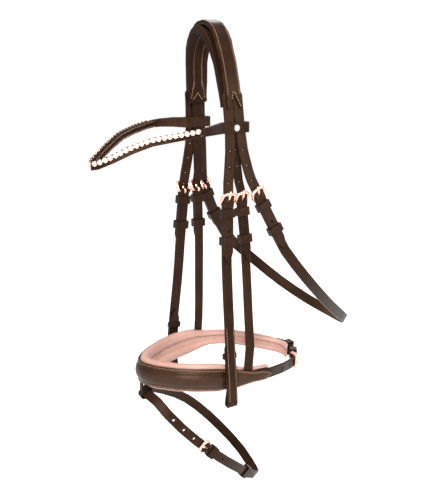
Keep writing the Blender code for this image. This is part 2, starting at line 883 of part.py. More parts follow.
def throat_route(side):
    loop = THROAT_LOOP if side > 0 else THROAT_LOOP[::-1]
    offset = (CROWN_SLIT + THROAT_WIDTH) / 2
    return Route(smooth_through(side_points(side, offset, THROAT_TOP[side], loop[:4])), throat_across)


def cheek_route(side):
    offset = -(CROWN_SLIT + CHEEK_WIDTH) / 2
    return Route(smooth_through(side_points(side, offset, CHEEK_TOP, CHEEK_FOOT[side])), BACK)


def nose_matrix():
    pivot = Matrix.Translation((0.0, 0.0, NOSE_PIVOT_Z))
    turn = Matrix.Rotation(-NOSE_YAW, 4, "Z") @ Matrix.Rotation(NOSE_ROLL, 4, "Y")
    return pivot @ turn @ pivot.inverted()


def nose_route():
    """The closed line round the nose, from the chin buckle's bar round the far side."""
    ring = NOSE_REAR_LINE[NOSE_BAR_POINT:] + mirrored(NOSE_FRONT_LINE[::-1])
    ring += NOSE_FRONT_LINE[1:] + NOSE_REAR_LINE[:NOSE_BAR_POINT + 1]
    points = [nose @ Vector(p) for p in ring]
    return Route(smooth_through(points), nose.to_3x3() @ UP, sum(points, Vector()) / len(points))


def flash_route():
    ring = [nose @ Vector(p) for p in FLASH_LINE + FLASH_LINE[:1]]
    across = nose.to_3x3() @ FLASH_ACROSS
    return Route(smooth_through(ring), across, sum(ring, Vector()) / len(ring))


def hanger_station(side):
    """Where a hanger meets the noseband, along the noseband's line."""
    back = nose.inverted()
    best = None
    for s in nose_line.lengths:
        point = back @ nose_line.point(s)
        if point.x * side < 0:
            continue
        miss = abs(point.y - HANGER_SEAT_Y[side])
        if best is None or miss < best[0]:
            best = (miss, s)
    return best[1]


def hanger_route(side):
    s = hanger_seats[side]
    lift = GAP + HANGER_TUCK_THICKNESS / 2
    foot = [nose_line.place(s, shift, lift) for shift in (*HANGER_FOOT_RISES, CHIN_WIDTH / 2 + GAP)]
    turned = nose_line.tangent(s)
    turned = turned if turned.y > 0 else -turned

    def across(point):
        return blend(BACK, turned, eased(HANGER_MIDDLE[side][2], foot[0].z, point.z))

    top = [(x, y, z) for x, y, z in sided(HANGER_TOP, side)]
    return Route(smooth_through(top + [HANGER_MIDDLE[side]] + foot), across)


def headstrap_route():
    near = [(x, crown_y(z), z) for x, z in CROWN_LINE[:-1]] + HANGER_TOP + [HANGER_MIDDLE[1]]
    far = [(-x, crown_y(z), z) for x, z in CROWN_LINE[1:-1]] + mirrored(HANGER_TOP) + [HANGER_MIDDLE[-1]]
    return Route(smooth_through(far[::-1] + near), BACK, Vector((0.0, 0.0, CROWN_SLIT_Z)))


def build_crown():
    end = arch.at_height(CROWN_SLIT_Z)
    stations = arch.stations(arch.length - end, end)
    body = strap("crown_strap", arch, stations, lambda s: crown_width(arch.point(s).z),
                 CROWN_THICKNESS, CROWN_LIFT)
    for side, label in SIDES.items():
        for kind, line, bar, stock in (
            ("cheek", cheeks[side], cheek_bars[side], CHEEK_WIDTH),
            ("throat", throats[side], throat_bars[side], THROAT_WIDTH),
        ):
            add_crown_billet(body, line, bar, stock, f"crown_{kind}_billet_{label}")


def add_crown_billet(body, line, bar, width, name):
    rows = billet_rows(BILLET_REST, STRAP_THICKNESS, BILLET_THICKNESS)
    end = bar + TIP_DROP
    start = line.at_height(CROWN_SLIT_Z + CROWN_JOIN)

    def lift(s):
        return table(rows, bar - s)

    stations = line.stations(start, end, billet_marks(bar) + tip_marks(end))
    leaf = strap(name, line, stations, lambda s: tip_width(width, end - s), BILLET_THICKNESS, lift, None)
    punch(leaf, line, bar, 3, 2, lift)
    change(body, leaf, "UNION")


def build_facing():
    """The stitched top layer, cut at each end to a pair of points."""
    lift = CROWN_LIFT + (CROWN_THICKNESS + FACING_THICKNESS) / 2 + GAP
    end = arch.at_height(FACING_TIP_Z)
    width = CROWN_WIDTH - FACING_MARGIN * 2
    stations = arch.stations(arch.length - end, end)
    facing = strap("crown_facing", arch, stations, width, FACING_THICKNESS, lift)
    notch = end - arch.at_height(FACING_NOTCH_Z)
    half = width / 2 - TIP_END
    wedge = [(0.0, notch), (-half, -FACING_MARGIN), (-half, -notch), (half, -notch), (half, -FACING_MARGIN)]
    for side, label in SIDES.items():
        s = end if side > 0 else arch.length - end
        place = arch.matrix(s, lift=lift)
        if side < 0:
            place = place @ Matrix.Rotation(math.pi, 4, "Z")
        change(facing, prism("crown_facing_notch_" + label, [place], wedge, STRAP_THICKNESS * 3), "DIFFERENCE")


def pad_section(width, roll, channel, top, lip):
    """Two rolls side by side with a channel between them, and a lip beside the crown at each edge."""
    a, crest, low = width / 2, width * PAD_CREST_SHARE, top - roll
    seat = CROWN_WIDTH / 2 + GAP * 2
    cheek = blend(top, low, PAD_CHEEK_SHARE)
    half = [
        (seat, top), ((seat + a) / 2, top + lip), (a - EDGE_ROUND, top + lip - EDGE_ROUND), (a, cheek),
        (a - EDGE_ROUND * 2, blend(cheek, low, PAD_TURN_SHARE)),
        (crest + EDGE_ROUND, low), (crest - EDGE_ROUND, low + GAP),
        (width * PAD_CHANNEL_SHARE, top - channel),
    ]
    return half + [(-x, n) for x, n in half[::-1]]


def build_pad():
    """The padding under the crown: full over the poll, slimmer down the sides and flat at its ends."""
    top = CROWN_LIFT - CROWN_THICKNESS / 2 - HEADSTRAP_THICKNESS - GAP * 2
    end = arch.at_height(PAD_END_Z)
    stations = arch.stations(arch.length - end, end)
    sections = []
    for s in stations:
        z = arch.point(s).z
        over, down = eased(*PAD_SIDE_Z, z), eased(*PAD_TAPER_Z, z)
        width = blend(blend(PAD_END_WIDTH, PAD_SIDE_WIDTH, down), PAD_WIDTH, over)
        roll = blend(blend(PAD_END_ROLL, PAD_SIDE_ROLL, down), PAD_ROLL, over)
        channel = min(PAD_CHANNEL, roll * PAD_TURN_SHARE)
        sections.append(pad_section(width, roll, channel, top, PAD_LIP * eased(*PAD_LIP_Z, z)))
    sweep("crown_pad", [arch.frame(s) for s in stations], sections, soft_leather)


def mirror_marks(line):
    """Gives both halves of a symmetrical line the same sections."""
    middle = line.length / 2
    half = [s for s in line.marks if s < middle - FINE_STEP]
    line.marks = half + [middle] + [line.length - s for s in half[::-1]]


def share_marks(line, other):
    """Gives a line the sections of another one that it runs along, so that the layers lie close."""
    shared = [nearest(line, other.point(s)) for s in other.marks]
    own = [s for s in line.marks if not shared[0] <= s <= shared[-1]]
    line.marks = sorted(own + shared)


def build_headstrap():
    """The noseband's own headpiece, in the pad's channel, with a billet at each end."""
    line = headstrap_route()
    share_marks(line, arch)
    rest = CROWN_LIFT - (CROWN_THICKNESS + HEADSTRAP_THICKNESS) / 2 - GAP
    bars = {1: line.at_height(BUCKLE_Z), -1: reversed_height(line, BUCKLE_Z)}
    rows = billet_rows(rest, STRAP_THICKNESS, HEADSTRAP_THICKNESS)
    start, end = bars[-1] - TIP_DROP, bars[1] + TIP_DROP

    def lift(s):
        return table(rows, min(bars[1] - s, s - bars[-1]))

    def width(s):
        return tip_width(HANGER_WIDTH, min(end - s, s - start))

    extra = billet_marks(bars[1]) + billet_marks(bars[-1], -1) + tip_marks(end) + tip_marks(start, -1)
    body = strap("noseband_headstrap", line, line.stations(start, end, extra), width, HEADSTRAP_THICKNESS, lift)
    for side in SIDES:
        punch(body, line, bars[side], 3, 2, lift, side)


def reversed_height(line, z):
    """How far along the line it first rises through a height."""
    for i, (a, b) in enumerate(zip(line.points, line.points[1:])):
        if a.z <= z < b.z:
            return blend(line.lengths[i], line.lengths[i + 1], share(a.z, b.z, z))
    return 0.0


def build_cheek(side):
    """A cheekpiece: eye at the top, a loop for the bit at the foot, its leaf turned up inside."""
    label, line, bar = SIDES[side], cheeks[side], cheek_bars[side]
    turn = line.at_height(BIT_TURN_Z)
    lay = lay_lift(STRAP_THICKNESS, BIT_LEAF_THICKNESS)
    bulge = BIT_LOOP_OPENING + BIT_LEAF_THICKNESS
    radius = bulge / 2
    stud = above_turn(line, BIT_STUD_RISE)
    down = [line.point(s) for s in line.stations(bar, turn, [stud])]
    around = []
    for i in range(1, 6):
        angle = math.pi * i / 6
        depth = turn + radius * math.sin(angle)
        around.append(line.place(turn, lift=-radius * (1 - math.cos(angle))) + line.tangent(turn) * (depth - turn))
    close, tip = above_turn(line, BIT_CLOSE_RISE), above_turn(line, BIT_LEAF_RISE)
    ease = (turn - close) / 2
    up = [line.place(turn, lift=-bulge), line.place(close + ease, lift=-blend(bulge, lay, BIT_LEAN_SHARE))]
    up += [line.place(close, lift=-lay - GAP), line.place(close - ease, lift=-lay)]
    up += [line.place(s, lift=-lay) for s in line.stations(tip, close - ease * 2, [stud])[::-1]]
    route = Route(smooth_through(down + around + up), BACK, Vector((0.0, 0.0, BUCKLE_Z)))
    route.side = side_of(route, line.frame(bar)[2])
    end = route.length
    thin = above_turn(line, BIT_THIN_RISE) - bar

    def thickness(s):
        return table([(thin, STRAP_THICKNESS), (turn - bar, BIT_LEAF_THICKNESS)], s)

    seats = [stud - bar, nearest(route, line.place(stud, lift=-lay))]
    stations = route.stations(0.0, end, [thin, *seats] + tip_marks(end))
    body = strap("cheekpiece_" + label, route, stations, lambda s: tip_width(CHEEK_WIDTH, end - s), thickness)
    eye(body, route, 0.0, CHEEK_WIDTH)
    hole = prism(body.name + "_stud_cut", [line.matrix(stud, lift=-lay)], circle(STUD_HOLE, HOLE_SIDES),
                 BIT_LEAF_THICKNESS + GAP)
    change(body, hole, "DIFFERENCE")
    buckle("cheek_buckle_" + label, route, 0.0, CHEEK_WIDTH)
    keeper_pair("cheek_" + label, line, bar, CHEEK_WIDTH, STRAP_THICKNESS, BILLET_THICKNESS, RUNNER_DROP)
    for kind, offset in zip(("upper", "lower"), BIT_KEEPER_OFFSETS):
        bit_keeper(f"bit_keeper_{kind}_{label}", line, above_turn(line, BIT_STUD_RISE + offset), lay)
    hook_stud("hook_stud_" + label, line, stud, lay)


def above_turn(line, rise):
    return line.at_height(BIT_TURN_Z + rise)


def side_of(route, out):
    """Which way round a route's outward side is, from a known outward direction at its start."""
    return route.side if route.frame(0.0)[2].dot(out) > 0 else -route.side


def bit_keeper(name, line, s, lay):
    """A U of leather that holds the turned-up leaf, lapping the strap's edges."""
    half = CHEEK_WIDTH / 2 + GAP
    back = -lay - BIT_LEAF_THICKNESS / 2 - GAP
    top = STRAP_THICKNESS / 2 - BIT_KEEPER_LAP + GAP * 3
    wall = KEEPER_THICKNESS
    outline = [
        (half, top), (half, back), (-half, back), (-half, top), (-half - wall, top),
        (-half - wall, back - wall + KEEPER_CORNER), (-half - wall + KEEPER_CORNER, back - wall),
        (half + wall - KEEPER_CORNER, back - wall), (half + wall, back - wall + KEEPER_CORNER), (half + wall, top),
    ]
    outline_plate(name, [outline], BIT_KEEPER_HEIGHT, leather, loop_place(line, s))


def hook_stud(name, line, s, lay):
    """A turned button: a foot on the strap's inner face, a shank and a head over the leaf."""
    foot = STRAP_THICKNESS / 2 + GAP
    head = lay + BIT_LEAF_THICKNESS / 2 + GAP
    profile = [
        (0.0, foot), (STUD_SHANK, foot), (STUD_SHANK, head), (STUD_HEAD, head),
        (STUD_HEAD, head + STUD_HEAD_THICKNESS / 2), (STUD_HEAD * 0.62, head + STUD_HEAD_THICKNESS),
        (0.0, head + STUD_HEAD_THICKNESS),
    ]
    inward = line.matrix(s) @ Matrix.Rotation(math.pi, 4, "Y")
    turned(name, profile, inward, rose_gold, STUD_STEPS)


def turned(name, profile, place, coat, steps):
    """A profile of (radius, height) spun round Z."""
    form = bmesh.new()
    line = [form.verts.new((radius, 0.0, height)) for radius, height in profile]
    edges = [form.edges.new(pair) for pair in zip(line, line[1:])]
    bmesh.ops.spin(form, geom=line + edges, axis=(0.0, 0.0, 1.0), cent=(0.0, 0.0, 0.0), steps=steps,
                   angle=2 * math.pi)
    bmesh.ops.remove_doubles(form, verts=form.verts, dist=BAR_RADIUS / 100)
    bmesh.ops.recalc_face_normals(form, faces=form.faces)
    return link(mesh_of(form, name), name, coat, place)


def build_throat():
    """The throatlatch: one strap from the near buckle, behind the jaw, to the far buckle."""
    near, far = (THROAT_TOP[side][BUCKLE_POINT - 1:] for side in SIDES)
    whole = Route(smooth_through(near + THROAT_LOOP + mirrored(far[::-1])), throat_across)
    first = nearest(whole, throats[1].point(throat_bars[1]))
    last = nearest(whole, throats[-1].point(throat_bars[-1]))
    body = strap("throatlatch", whole, whole.stations(first, last), THROAT_WIDTH, STRAP_THICKNESS)
    eye(body, whole, first, THROAT_WIDTH)
    eye(body, whole, last, THROAT_WIDTH)
    for side, label in SIDES.items():
        buckle("throat_buckle_" + label, throats[side], throat_bars[side], THROAT_WIDTH)
        keeper_pair("throat_" + label, throats[side], throat_bars[side], THROAT_WIDTH, STRAP_THICKNESS,
                    BILLET_THICKNESS, RUNNER_DROP)


def nearest(line, place):
    return min(line.lengths, key=lambda s: (line.point(s) - place).length)


def build_hanger(side):
    """The strap that carries the noseband, its end tucked under the noseband's front."""
    label, line, bar = SIDES[side], hangers[side], hanger_bars[side]
    thin = line.length - (HANGER_TOP[-1][2] - HANGER_MIDDLE[side][2])

    def thickness(s):
        return table([(thin, STRAP_THICKNESS), (line.length - HANGER_TUCK_RISE, HANGER_TUCK_THICKNESS)], s)

    stations = line.stations(bar, line.length, [thin])
    body = strap("noseband_hanger_" + label, line, stations, HANGER_WIDTH, thickness)
    eye(body, line, bar, HANGER_WIDTH)
    buckle("hanger_buckle_" + label, line, bar, HANGER_WIDTH)
    keeper_pair("hanger_" + label, line, bar, HANGER_WIDTH, STRAP_THICKNESS, HEADSTRAP_THICKNESS, RUNNER_DROP)


def brow_route():
    points = smooth_through(BROW_LINE + mirrored(BROW_LINE[-2::-1]))
    return Route(points, UP)


def build_browband():
    span = brow.length
    lift_out = BROW_THICKNESS / 2 + GAP
    strap("browband_strap", brow, brow.stations(BROW_STRAP_START, span - BROW_STRAP_START),
          brow_width, BROW_THICKNESS)
    lining_start = BROW_INNER_TAIL_END + GAP * 2
    strap("browband_lining", brow, brow.stations(lining_start, span - lining_start), BROW_LINING_WIDTH,
          BROW_LINING_THICKNESS, -lift_out - BROW_LINING_THICKNESS / 2, soft_leather)
    for side, label in SIDES.items():
        build_brow_loop(side, "browband_loop_" + label)
    build_chain(lift_out)
    place = brow_loop_face(BROW_Z)
    profile = [(0.0, 0.0), (BADGE_RADIUS, 0.0), (BADGE_RADIUS, BADGE_RISE / 2),
               (BADGE_RADIUS * BADGE_CROWN_SHARE, BADGE_RISE), (0.0, BADGE_RISE)]
    turned("browband_stud", profile, place, rose_gold, STUD_STEPS)


def brow_width(s):
    inward = min(s, brow.length - s)
    return table([(BROW_STRAP_START, BROW_WIDTH), (BROW_TAIL_END, BROW_NARROW_WIDTH),
                  (BROW_TAIL_END * 2, BROW_WIDTH)], inward)


def brow_loop_half():
    """Half the height inside a browband loop, with room for the straps it passes round."""
    outer = CROWN_LIFT + BILLET_THICKNESS / 2
    inner = CROWN_LIFT - CROWN_THICKNESS / 2 - HEADSTRAP_THICKNESS - GAP
    return (outer - inner) / 2 + BROW_LOOP_PLAY + BROW_LOOP_THICKNESS / 2


def brow_loop_face(z):
    """A place on the near loop's outer face, with Z outwards."""
    x, y = BROW_LINE[1][:2]
    out = Vector((1.0, 0.0, 0.0))
    turn = Matrix((BACK, UP, out)).transposed().to_4x4()
    face = x + brow_loop_half() + BROW_LOOP_THICKNESS / 2 + GAP
    return Matrix.Translation((face, y, z)) @ turn


def build_brow_loop(side, name):
    """One strip of leather: a tail on the band, round the crown's straps, and a tail inside."""
    half = brow_loop_half()
    x, y = BROW_LINE[1][:2]
    reach = (CROWN_SLIT + CHEEK_WIDTH * 2) / 2 + BROW_LOOP_PLAY
    tail = BROW_THICKNESS / 2 + GAP + BROW_LOOP_THICKNESS / 2

    def on_band(s, lift):
        return tuple(brow.place(s, lift=lift))

    marks = brow.stations(BROW_STRAP_START, BROW_TAIL_END)
    out_tail = [on_band(s, tail) for s in marks[::-1]]
    in_tail = [on_band(s, -tail) for s in marks if s < BROW_INNER_TAIL_END] + [on_band(BROW_INNER_TAIL_END, -tail)]
    ring = [(x + half, y - reach, BROW_Z), (x + half, y, BROW_Z), (x + half, y + reach, BROW_Z)]
    ring += [(x + half * math.cos(a), y + reach + half * math.sin(a), BROW_Z)
             for a in (math.pi / 6, math.pi / 3, math.pi / 2, math.pi * 2 / 3, math.pi * 5 / 6)]
    ring += [(x - half, y + reach, BROW_Z), (x - half, y, BROW_Z), (x - half, y - reach, BROW_Z)]
    path = out_tail + ring + in_tail
    if side < 0:
        path = mirrored(path)
    line = Route(smooth_through(path), UP, Vector((0.0, 0.0, BROW_Z)))
    full = [(0.0, BROW_NARROW_WIDTH), (BROW_TAIL_TAPER, BROW_LOOP_WIDTH),
            (line.length - BROW_TAIL_TAPER, BROW_LOOP_WIDTH), (line.length, BROW_NARROW_WIDTH)]
    tails = [[nearest(line, Vector(p)) for p in sided(rows, side)] for rows in (out_tail, in_tail)]
    around = [s for s in line.marks if tails[0][-1] < s < tails[1][0]]
    strap(name, line, tails[0] + around + tails[1], lambda s: table(full, s), BROW_LOOP_THICKNESS)


def build_chain(lift):
    """A thin strip with a row of stones in cups, all one piece."""
    middle = brow.length / 2
    each_side = int((middle - BROW_TAIL_END - CRYSTAL_RADIUS - GAP) / CRYSTAL_PITCH)
    half = CRYSTAL_PITCH * each_side
    start, end = middle - half - CHAIN_WIDTH, middle + half + CHAIN_WIDTH
    frames = [brow.frame(s) for s in brow.stations(start, end)]
    section = [(CHAIN_RISE + a, lift + CHAIN_THICKNESS / 2 + n) for a, n in box(CHAIN_WIDTH, CHAIN_THICKNESS)]
    strip = sweep("crystal_chain", frames, [section] * len(frames), crystal)
    form = bmesh.new()
    base = lift + GAP / 4
    levels = [(CRYSTAL_RADIUS, base), (CRYSTAL_RADIUS, base + CRYSTAL_CUP),
              (CRYSTAL_TABLE, base + CRYSTAL_CUP + CRYSTAL_CROWN)]
    for i in range(-each_side, each_side + 1):
        add_stone(form, brow.matrix(middle + CRYSTAL_PITCH * i, CHAIN_RISE), levels)
    bmesh.ops.recalc_face_normals(form, faces=form.faces)
    change(strip, link(mesh_of(form, "crystal_stones"), "crystal_stones", None), "UNION")


def add_stone(form, place, levels):
    outline = circle(1.0, CRYSTAL_SIDES)
    radius, height = levels[0]
    first = [form.verts.new(place @ Vector((x * radius, y * radius, height))) for x, y in outline]
    face = form.faces.new(first)
    for radius, height in levels[1:]:
        face = bmesh.ops.extrude_discrete_faces(form, faces=[face])["faces"][0]
        for corner, (x, y) in zip(face.verts, outline):
            corner.co = place @ Vector((x * radius, y * radius, height))
    form.faces.new(first)


def from_front(s):
    """How far a place on the noseband's line is from the front, whichever way round."""
    return abs(s - nose_front)


def build_nose_strap():
    """The noseband's own strap: chin buckle, round the nose, and its billet over the buckle."""
    rows = billet_rows(0.0, NOSE_STRAP_THICKNESS, NOSE_STRAP_THICKNESS)
    bar = nose_line.length
    end = bar + NOSE_TIP_DROP

    def lift(s):
        return nose_seat + table(rows, bar - s)

    stations = nose_line.stations(0.0, end, billet_marks(bar) + tip_marks(end))
    body = strap("noseband_strap", nose_line, stations, lambda s: tip_width(CHIN_WIDTH, end - s),
                 NOSE_STRAP_THICKNESS, lift)
    punch(body, nose_line, bar, 2, 2, lift)
    eye(body, nose_strap_line, 0.0, CHIN_WIDTH)
    buckle("chin_buckle", nose_strap_line, 0.0, CHIN_WIDTH)
    keeper_pair("chin", nose_strap_line, 0.0, CHIN_WIDTH, NOSE_STRAP_THICKNESS, NOSE_STRAP_THICKNESS,
                NOSE_RUNNER_DROP, NOSE_RUNNER_PLAY)


def front_section(height, thickness, rise, low):
    """A flat leather margin above and below a raised roll."""
    a, e, top = height / 2, EDGE_ROUND, low + thickness
    outer = [(a, top - e), (a - e, top)] + [(a * x, top + rise * n) for x, n in NOSE_ROLL_SHARES]
    outer += [(-x, n) for x, n in outer[::-1]]
    return outer + [(-a, low + e), (e - a, low), (a - e, low), (a, low + e)]


def build_nose_front():
    """The shaped leather of the nosepiece, raised over a roll and tapering to each cheek."""
    low = GAP * 2 + NOSE_STRAP_THICKNESS
    start, end = nose_front - NOSE_FRONT_REACH, nose_front + NOSE_FRONT_REACH
    extra = tip_marks(end) + tip_marks(start, -1)
    stations = nose_line.stations(start, end, extra)
    sections = []
    for s in stations:
        away = from_front(s)
        height = blend(NOSE_FRONT_HEIGHT, NOSE_FRONT_FOOT, eased(*NOSE_FRONT_TAPER, away))
        if away > NOSE_FRONT_TAPER[1]:
            height = tip_width(NOSE_FRONT_FOOT, NOSE_FRONT_REACH - away)
        rise = NOSE_ROLL_RISE * (1 - eased(*NOSE_ROLL_TAPER, away))
        sections.append(front_section(height, NOSE_FRONT_THICKNESS, rise, low))
    sweep("noseband_front", [nose_line.frame(s) for s in stations], sections, leather)


def lining_section(height, top_swell, foot_swell, base, roll):
    """A padded lining: two rolls and a channel inside, a seat for the strap outside."""
    a = height / 2
    seat = min(CHIN_WIDTH / 2 + LINING_MARGIN, a - EDGE_ROUND * 2)
    e = EDGE_ROUND
    crest = (seat + a) / 2

    def swelled(way, swell):
        rows = ((a - e, LINING_EDGE_SHARE), (crest, 1), (seat + e / 2, LINING_SEAM_SHARE), (seat, 0))
        return [(way * x, base + swell * part) for x, part in rows]

    outer = swelled(1, top_swell) + swelled(-1, foot_swell)[::-1]
    inner = [(-a * x, -roll * n) for x, n in LINING_ROLL_SHARES]
    inner.append((-a * LINING_CHANNEL_SHARE, -LINING_CHANNEL))
    return outer + inner + [(-x, n) for x, n in inner[::-1]]


def notch_marks():
    """Where the lining's outer face changes, so that every layer of the noseband has a section there."""
    marks = [*LINING_RECESS_DROP, LINING_FAR_DROP, nose_front + LINING_NEAR_REACH]
    marks += [drop + way * KEEPER_HEIGHT / 2 for drop in (KEEPER_DROP, NOSE_RUNNER_DROP) for way in (-1, 1)]
    notches = [(s, HANGER_NOTCH) for s in hanger_seats.values()] + [(nose_front, FLASH_NOTCH)]
    for middle, half in notches:
        marks += [middle + way * reach for way in (-1, 1) for reach in (half, half + HANGER_NOTCH_EASE)]
    return marks


def notch_share(s, middle, half):
    """Nothing at a notch, rising to the whole of the swell beside it."""
    return eased(half, half + HANGER_NOTCH_EASE, abs(s - middle))


def build_lining():
    """The pink padded lining, wide over the nose and narrow under the jaw on the far side."""
    start, end = LINING_FAR_DROP, nose_front + LINING_NEAR_REACH
    stations = nose_line.stations(start, end)
    sections = []
    for s in stations:
        away = from_front(s)
        height = blend(LINING_HEIGHT, LINING_FOOT, eased(*LINING_TAPER, away))
        recess = LINING_RECESS * (1 - eased(*LINING_RECESS_DROP, s))
        slim = 1 - eased(*LINING_TAPER, away) * LINING_SLIM_SHARE
        swell = LINING_SWELL * (1 - recess / LINING_RECESS) * slim
        top, foot = swell, swell
        for middle in hanger_seats.values():
            top = min(top, swell * notch_share(s, middle, HANGER_NOTCH))
        foot = min(foot, swell * notch_share(s, nose_front, FLASH_NOTCH))
        sections.append(lining_section(height, top, foot, -recess, LINING_ROLL))
    sweep("noseband_lining", [nose_line.frame(s) for s in stations], sections, pink_lining)


def build_flash_loop():
    """The loop under the nosepiece that the flash strap runs through, with its sewn tab."""
    across = FLASH_ACROSS.normalized()
    out = Vector((1.0, 0.0, 0.0)).cross(across)
    long, deep = FLASH_LOOP_LENGTH / 2, FLASH_LOOP_OPENING / 2
    wall = FLASH_LOOP_WALL
    place = Matrix.Translation(FLASH_LOOP_CENTRE) @ Matrix((across, out, across.cross(out))).transposed().to_4x4()
    inner = chamfered(-deep, deep, long, KEEPER_CORNER)
    outer = chamfered(-deep - wall, deep + wall, long + wall, KEEPER_CORNER * 2)
    ring = outline_plate("flash_ring", [outer, inner], FLASH_LOOP_WIDTH, None, nose @ place)
    bpy.context.view_layer.update()
    graph = bpy.context.evaluated_depsgraph_get()
    mesh = bpy.data.meshes.new_from_object(ring.evaluated_get(graph))
    mesh.name = "flash_loop"
    form = bmesh.new()
    form.from_mesh(mesh)
    bmesh.ops.remove_doubles(form, verts=form.verts, dist=BAR_RADIUS / 100)
    bmesh.ops.recalc_face_normals(form, faces=form.faces)
    form.to_mesh(mesh)
    form.free()
    bpy.data.objects.remove(ring, do_unlink=True)
    body = link(mesh, "flash_loop", leather, nose @ place)
    high, low = FLASH_TAB_DROP
    x, y, z = NOSE_FRONT_LINE[0]
    middle = nose @ Matrix.Translation((x, y - GAP - NOSE_STRAP_THICKNESS / 2, z - (high + low) / 2))
    tab = prism("flash_tab", [middle], box(FLASH_TAB_WIDTH, FLASH_TAB_THICKNESS), low - high)
    change(body, tab, "UNION")


def build_flash():
    """The flash strap: its buckle on the near side, round under the chin and back through the loop."""
    line = flash_line
    rows = billet_rows(0.0, FLASH_STRAP_THICKNESS, FLASH_BILLET_THICKNESS)
    bar = line.length
    end = bar + FLASH_TIP_DROP

    def lift(s):
        return table(rows, bar - s)

    def thickness(s):
        return table([(bar - STATION_STEP * 3, FLASH_STRAP_THICKNESS),
                      (bar - BILLET_RISE_START, FLASH_BILLET_THICKNESS)], s)

    stations = line.stations(0.0, end, billet_marks(bar) + tip_marks(end) + [bar - STATION_STEP * 3])
    body = strap("flash_strap", line, stations, lambda s: tip_width(FLASH_WIDTH, end - s), thickness, lift)
    punch(body, line, bar, 3, 2, lift)
    eye(body, line, 0.0, FLASH_WIDTH)
    buckle("flash_buckle", line, 0.0, FLASH_WIDTH)
    keeper_pair("flash", line, 0.0, FLASH_WIDTH, FLASH_STRAP_THICKNESS, FLASH_BILLET_THICKNESS, FLASH_RUNNER_DROP)


clear_scene()
bridle = new_collection("bridle")
cutters = new_collection("cutters")

nose = nose_matrix()
arch = crown_route()
mirror_marks(arch)
arch.marks = arch.stations(0.0, arch.length, both_ways(CROWN_EAR_Z))
cheeks = {side: cheek_route(side) for side in SIDES}
throats = {side: throat_route(side) for side in SIDES}
cheek_bars = {side: cheeks[side].at_height(BUCKLE_Z) for side in SIDES}
throat_bars = {side: throats[side].at_height(THROAT_BUCKLE_Z[side]) for side in SIDES}
nose_line = nose_route()
nose_seat = GAP + NOSE_STRAP_THICKNESS / 2
nose_strap_line = nose_line.raised(nose_seat)
nose_front = nearest(nose_line, nose @ Vector(NOSE_FRONT_LINE[0]))
hanger_seats = {side: hanger_station(side) for side in SIDES}
nose_line.marks = nose_line.stations(0.0, nose_line.length, notch_marks())
hangers = {side: hanger_route(side) for side in SIDES}
hanger_bars = {side: hangers[side].at_height(BUCKLE_Z) for side in SIDES}
brow = brow_route()
mirror_marks(brow)
flash_line = flash_route()

build_crown()
build_facing()
build_pad()
build_headstrap()
for side in SIDES:
    build_cheek(side)
    build_hanger(side)
build_throat()
build_browband()
build_nose_strap()
build_nose_front()
build_lining()
build_flash_loop()
build_flash()
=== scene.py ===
import json
import math

import bmesh
import bpy
from mathutils import Matrix, Vector
from mathutils.bvhtree import BVHTree
from mathutils.kdtree import KDTree

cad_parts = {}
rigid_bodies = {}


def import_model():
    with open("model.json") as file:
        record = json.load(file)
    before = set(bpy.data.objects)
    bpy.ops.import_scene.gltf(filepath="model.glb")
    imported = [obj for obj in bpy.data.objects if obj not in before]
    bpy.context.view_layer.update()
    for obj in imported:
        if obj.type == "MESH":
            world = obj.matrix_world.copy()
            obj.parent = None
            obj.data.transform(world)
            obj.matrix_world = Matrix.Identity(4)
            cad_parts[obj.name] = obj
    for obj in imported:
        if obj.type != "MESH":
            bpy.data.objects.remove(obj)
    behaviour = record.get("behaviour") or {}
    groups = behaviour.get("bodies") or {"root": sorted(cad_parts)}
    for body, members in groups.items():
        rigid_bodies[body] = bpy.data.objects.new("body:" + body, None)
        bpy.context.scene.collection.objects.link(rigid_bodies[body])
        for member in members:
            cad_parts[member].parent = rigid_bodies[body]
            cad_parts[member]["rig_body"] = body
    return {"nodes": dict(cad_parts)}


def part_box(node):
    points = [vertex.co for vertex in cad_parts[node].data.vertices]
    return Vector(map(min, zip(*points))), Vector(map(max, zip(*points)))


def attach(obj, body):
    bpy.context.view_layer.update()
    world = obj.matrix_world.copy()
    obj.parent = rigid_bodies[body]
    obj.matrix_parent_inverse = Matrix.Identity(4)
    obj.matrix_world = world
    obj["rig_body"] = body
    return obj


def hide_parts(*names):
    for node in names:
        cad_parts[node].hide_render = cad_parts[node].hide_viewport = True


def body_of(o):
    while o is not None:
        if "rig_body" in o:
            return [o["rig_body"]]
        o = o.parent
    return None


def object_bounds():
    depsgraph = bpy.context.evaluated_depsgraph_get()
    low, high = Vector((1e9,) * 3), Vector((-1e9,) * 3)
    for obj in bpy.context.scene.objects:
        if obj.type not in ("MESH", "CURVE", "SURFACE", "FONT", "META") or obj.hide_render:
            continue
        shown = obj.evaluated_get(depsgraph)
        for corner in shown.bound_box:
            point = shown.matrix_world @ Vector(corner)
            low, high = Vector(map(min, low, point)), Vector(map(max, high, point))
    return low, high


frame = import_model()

for spare in ("Cube", "Light", "Camera"):  # what Blender opens with
    if spare in bpy.data.objects:
        bpy.data.objects.remove(bpy.data.objects[spare])

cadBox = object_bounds()
nodes = frame["nodes"]
up = Vector((0.0, 0.0, 1.0))
back = Vector((0.0, 1.0, 0.0))  # towards the horse's neck
weldGap = 0.00002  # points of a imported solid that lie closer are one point


def bare():
    if bpy.context.mode != "OBJECT":
        bpy.ops.object.mode_set(mode="OBJECT")
    bpy.ops.object.select_all(action="DESELECT")


def take(obj):
    bare()
    obj.select_set(True)
    bpy.context.view_layer.objects.active = obj


def editAll(obj):
    take(obj)
    bpy.ops.object.mode_set(mode="EDIT")
    bpy.ops.mesh.select_all(action="SELECT")


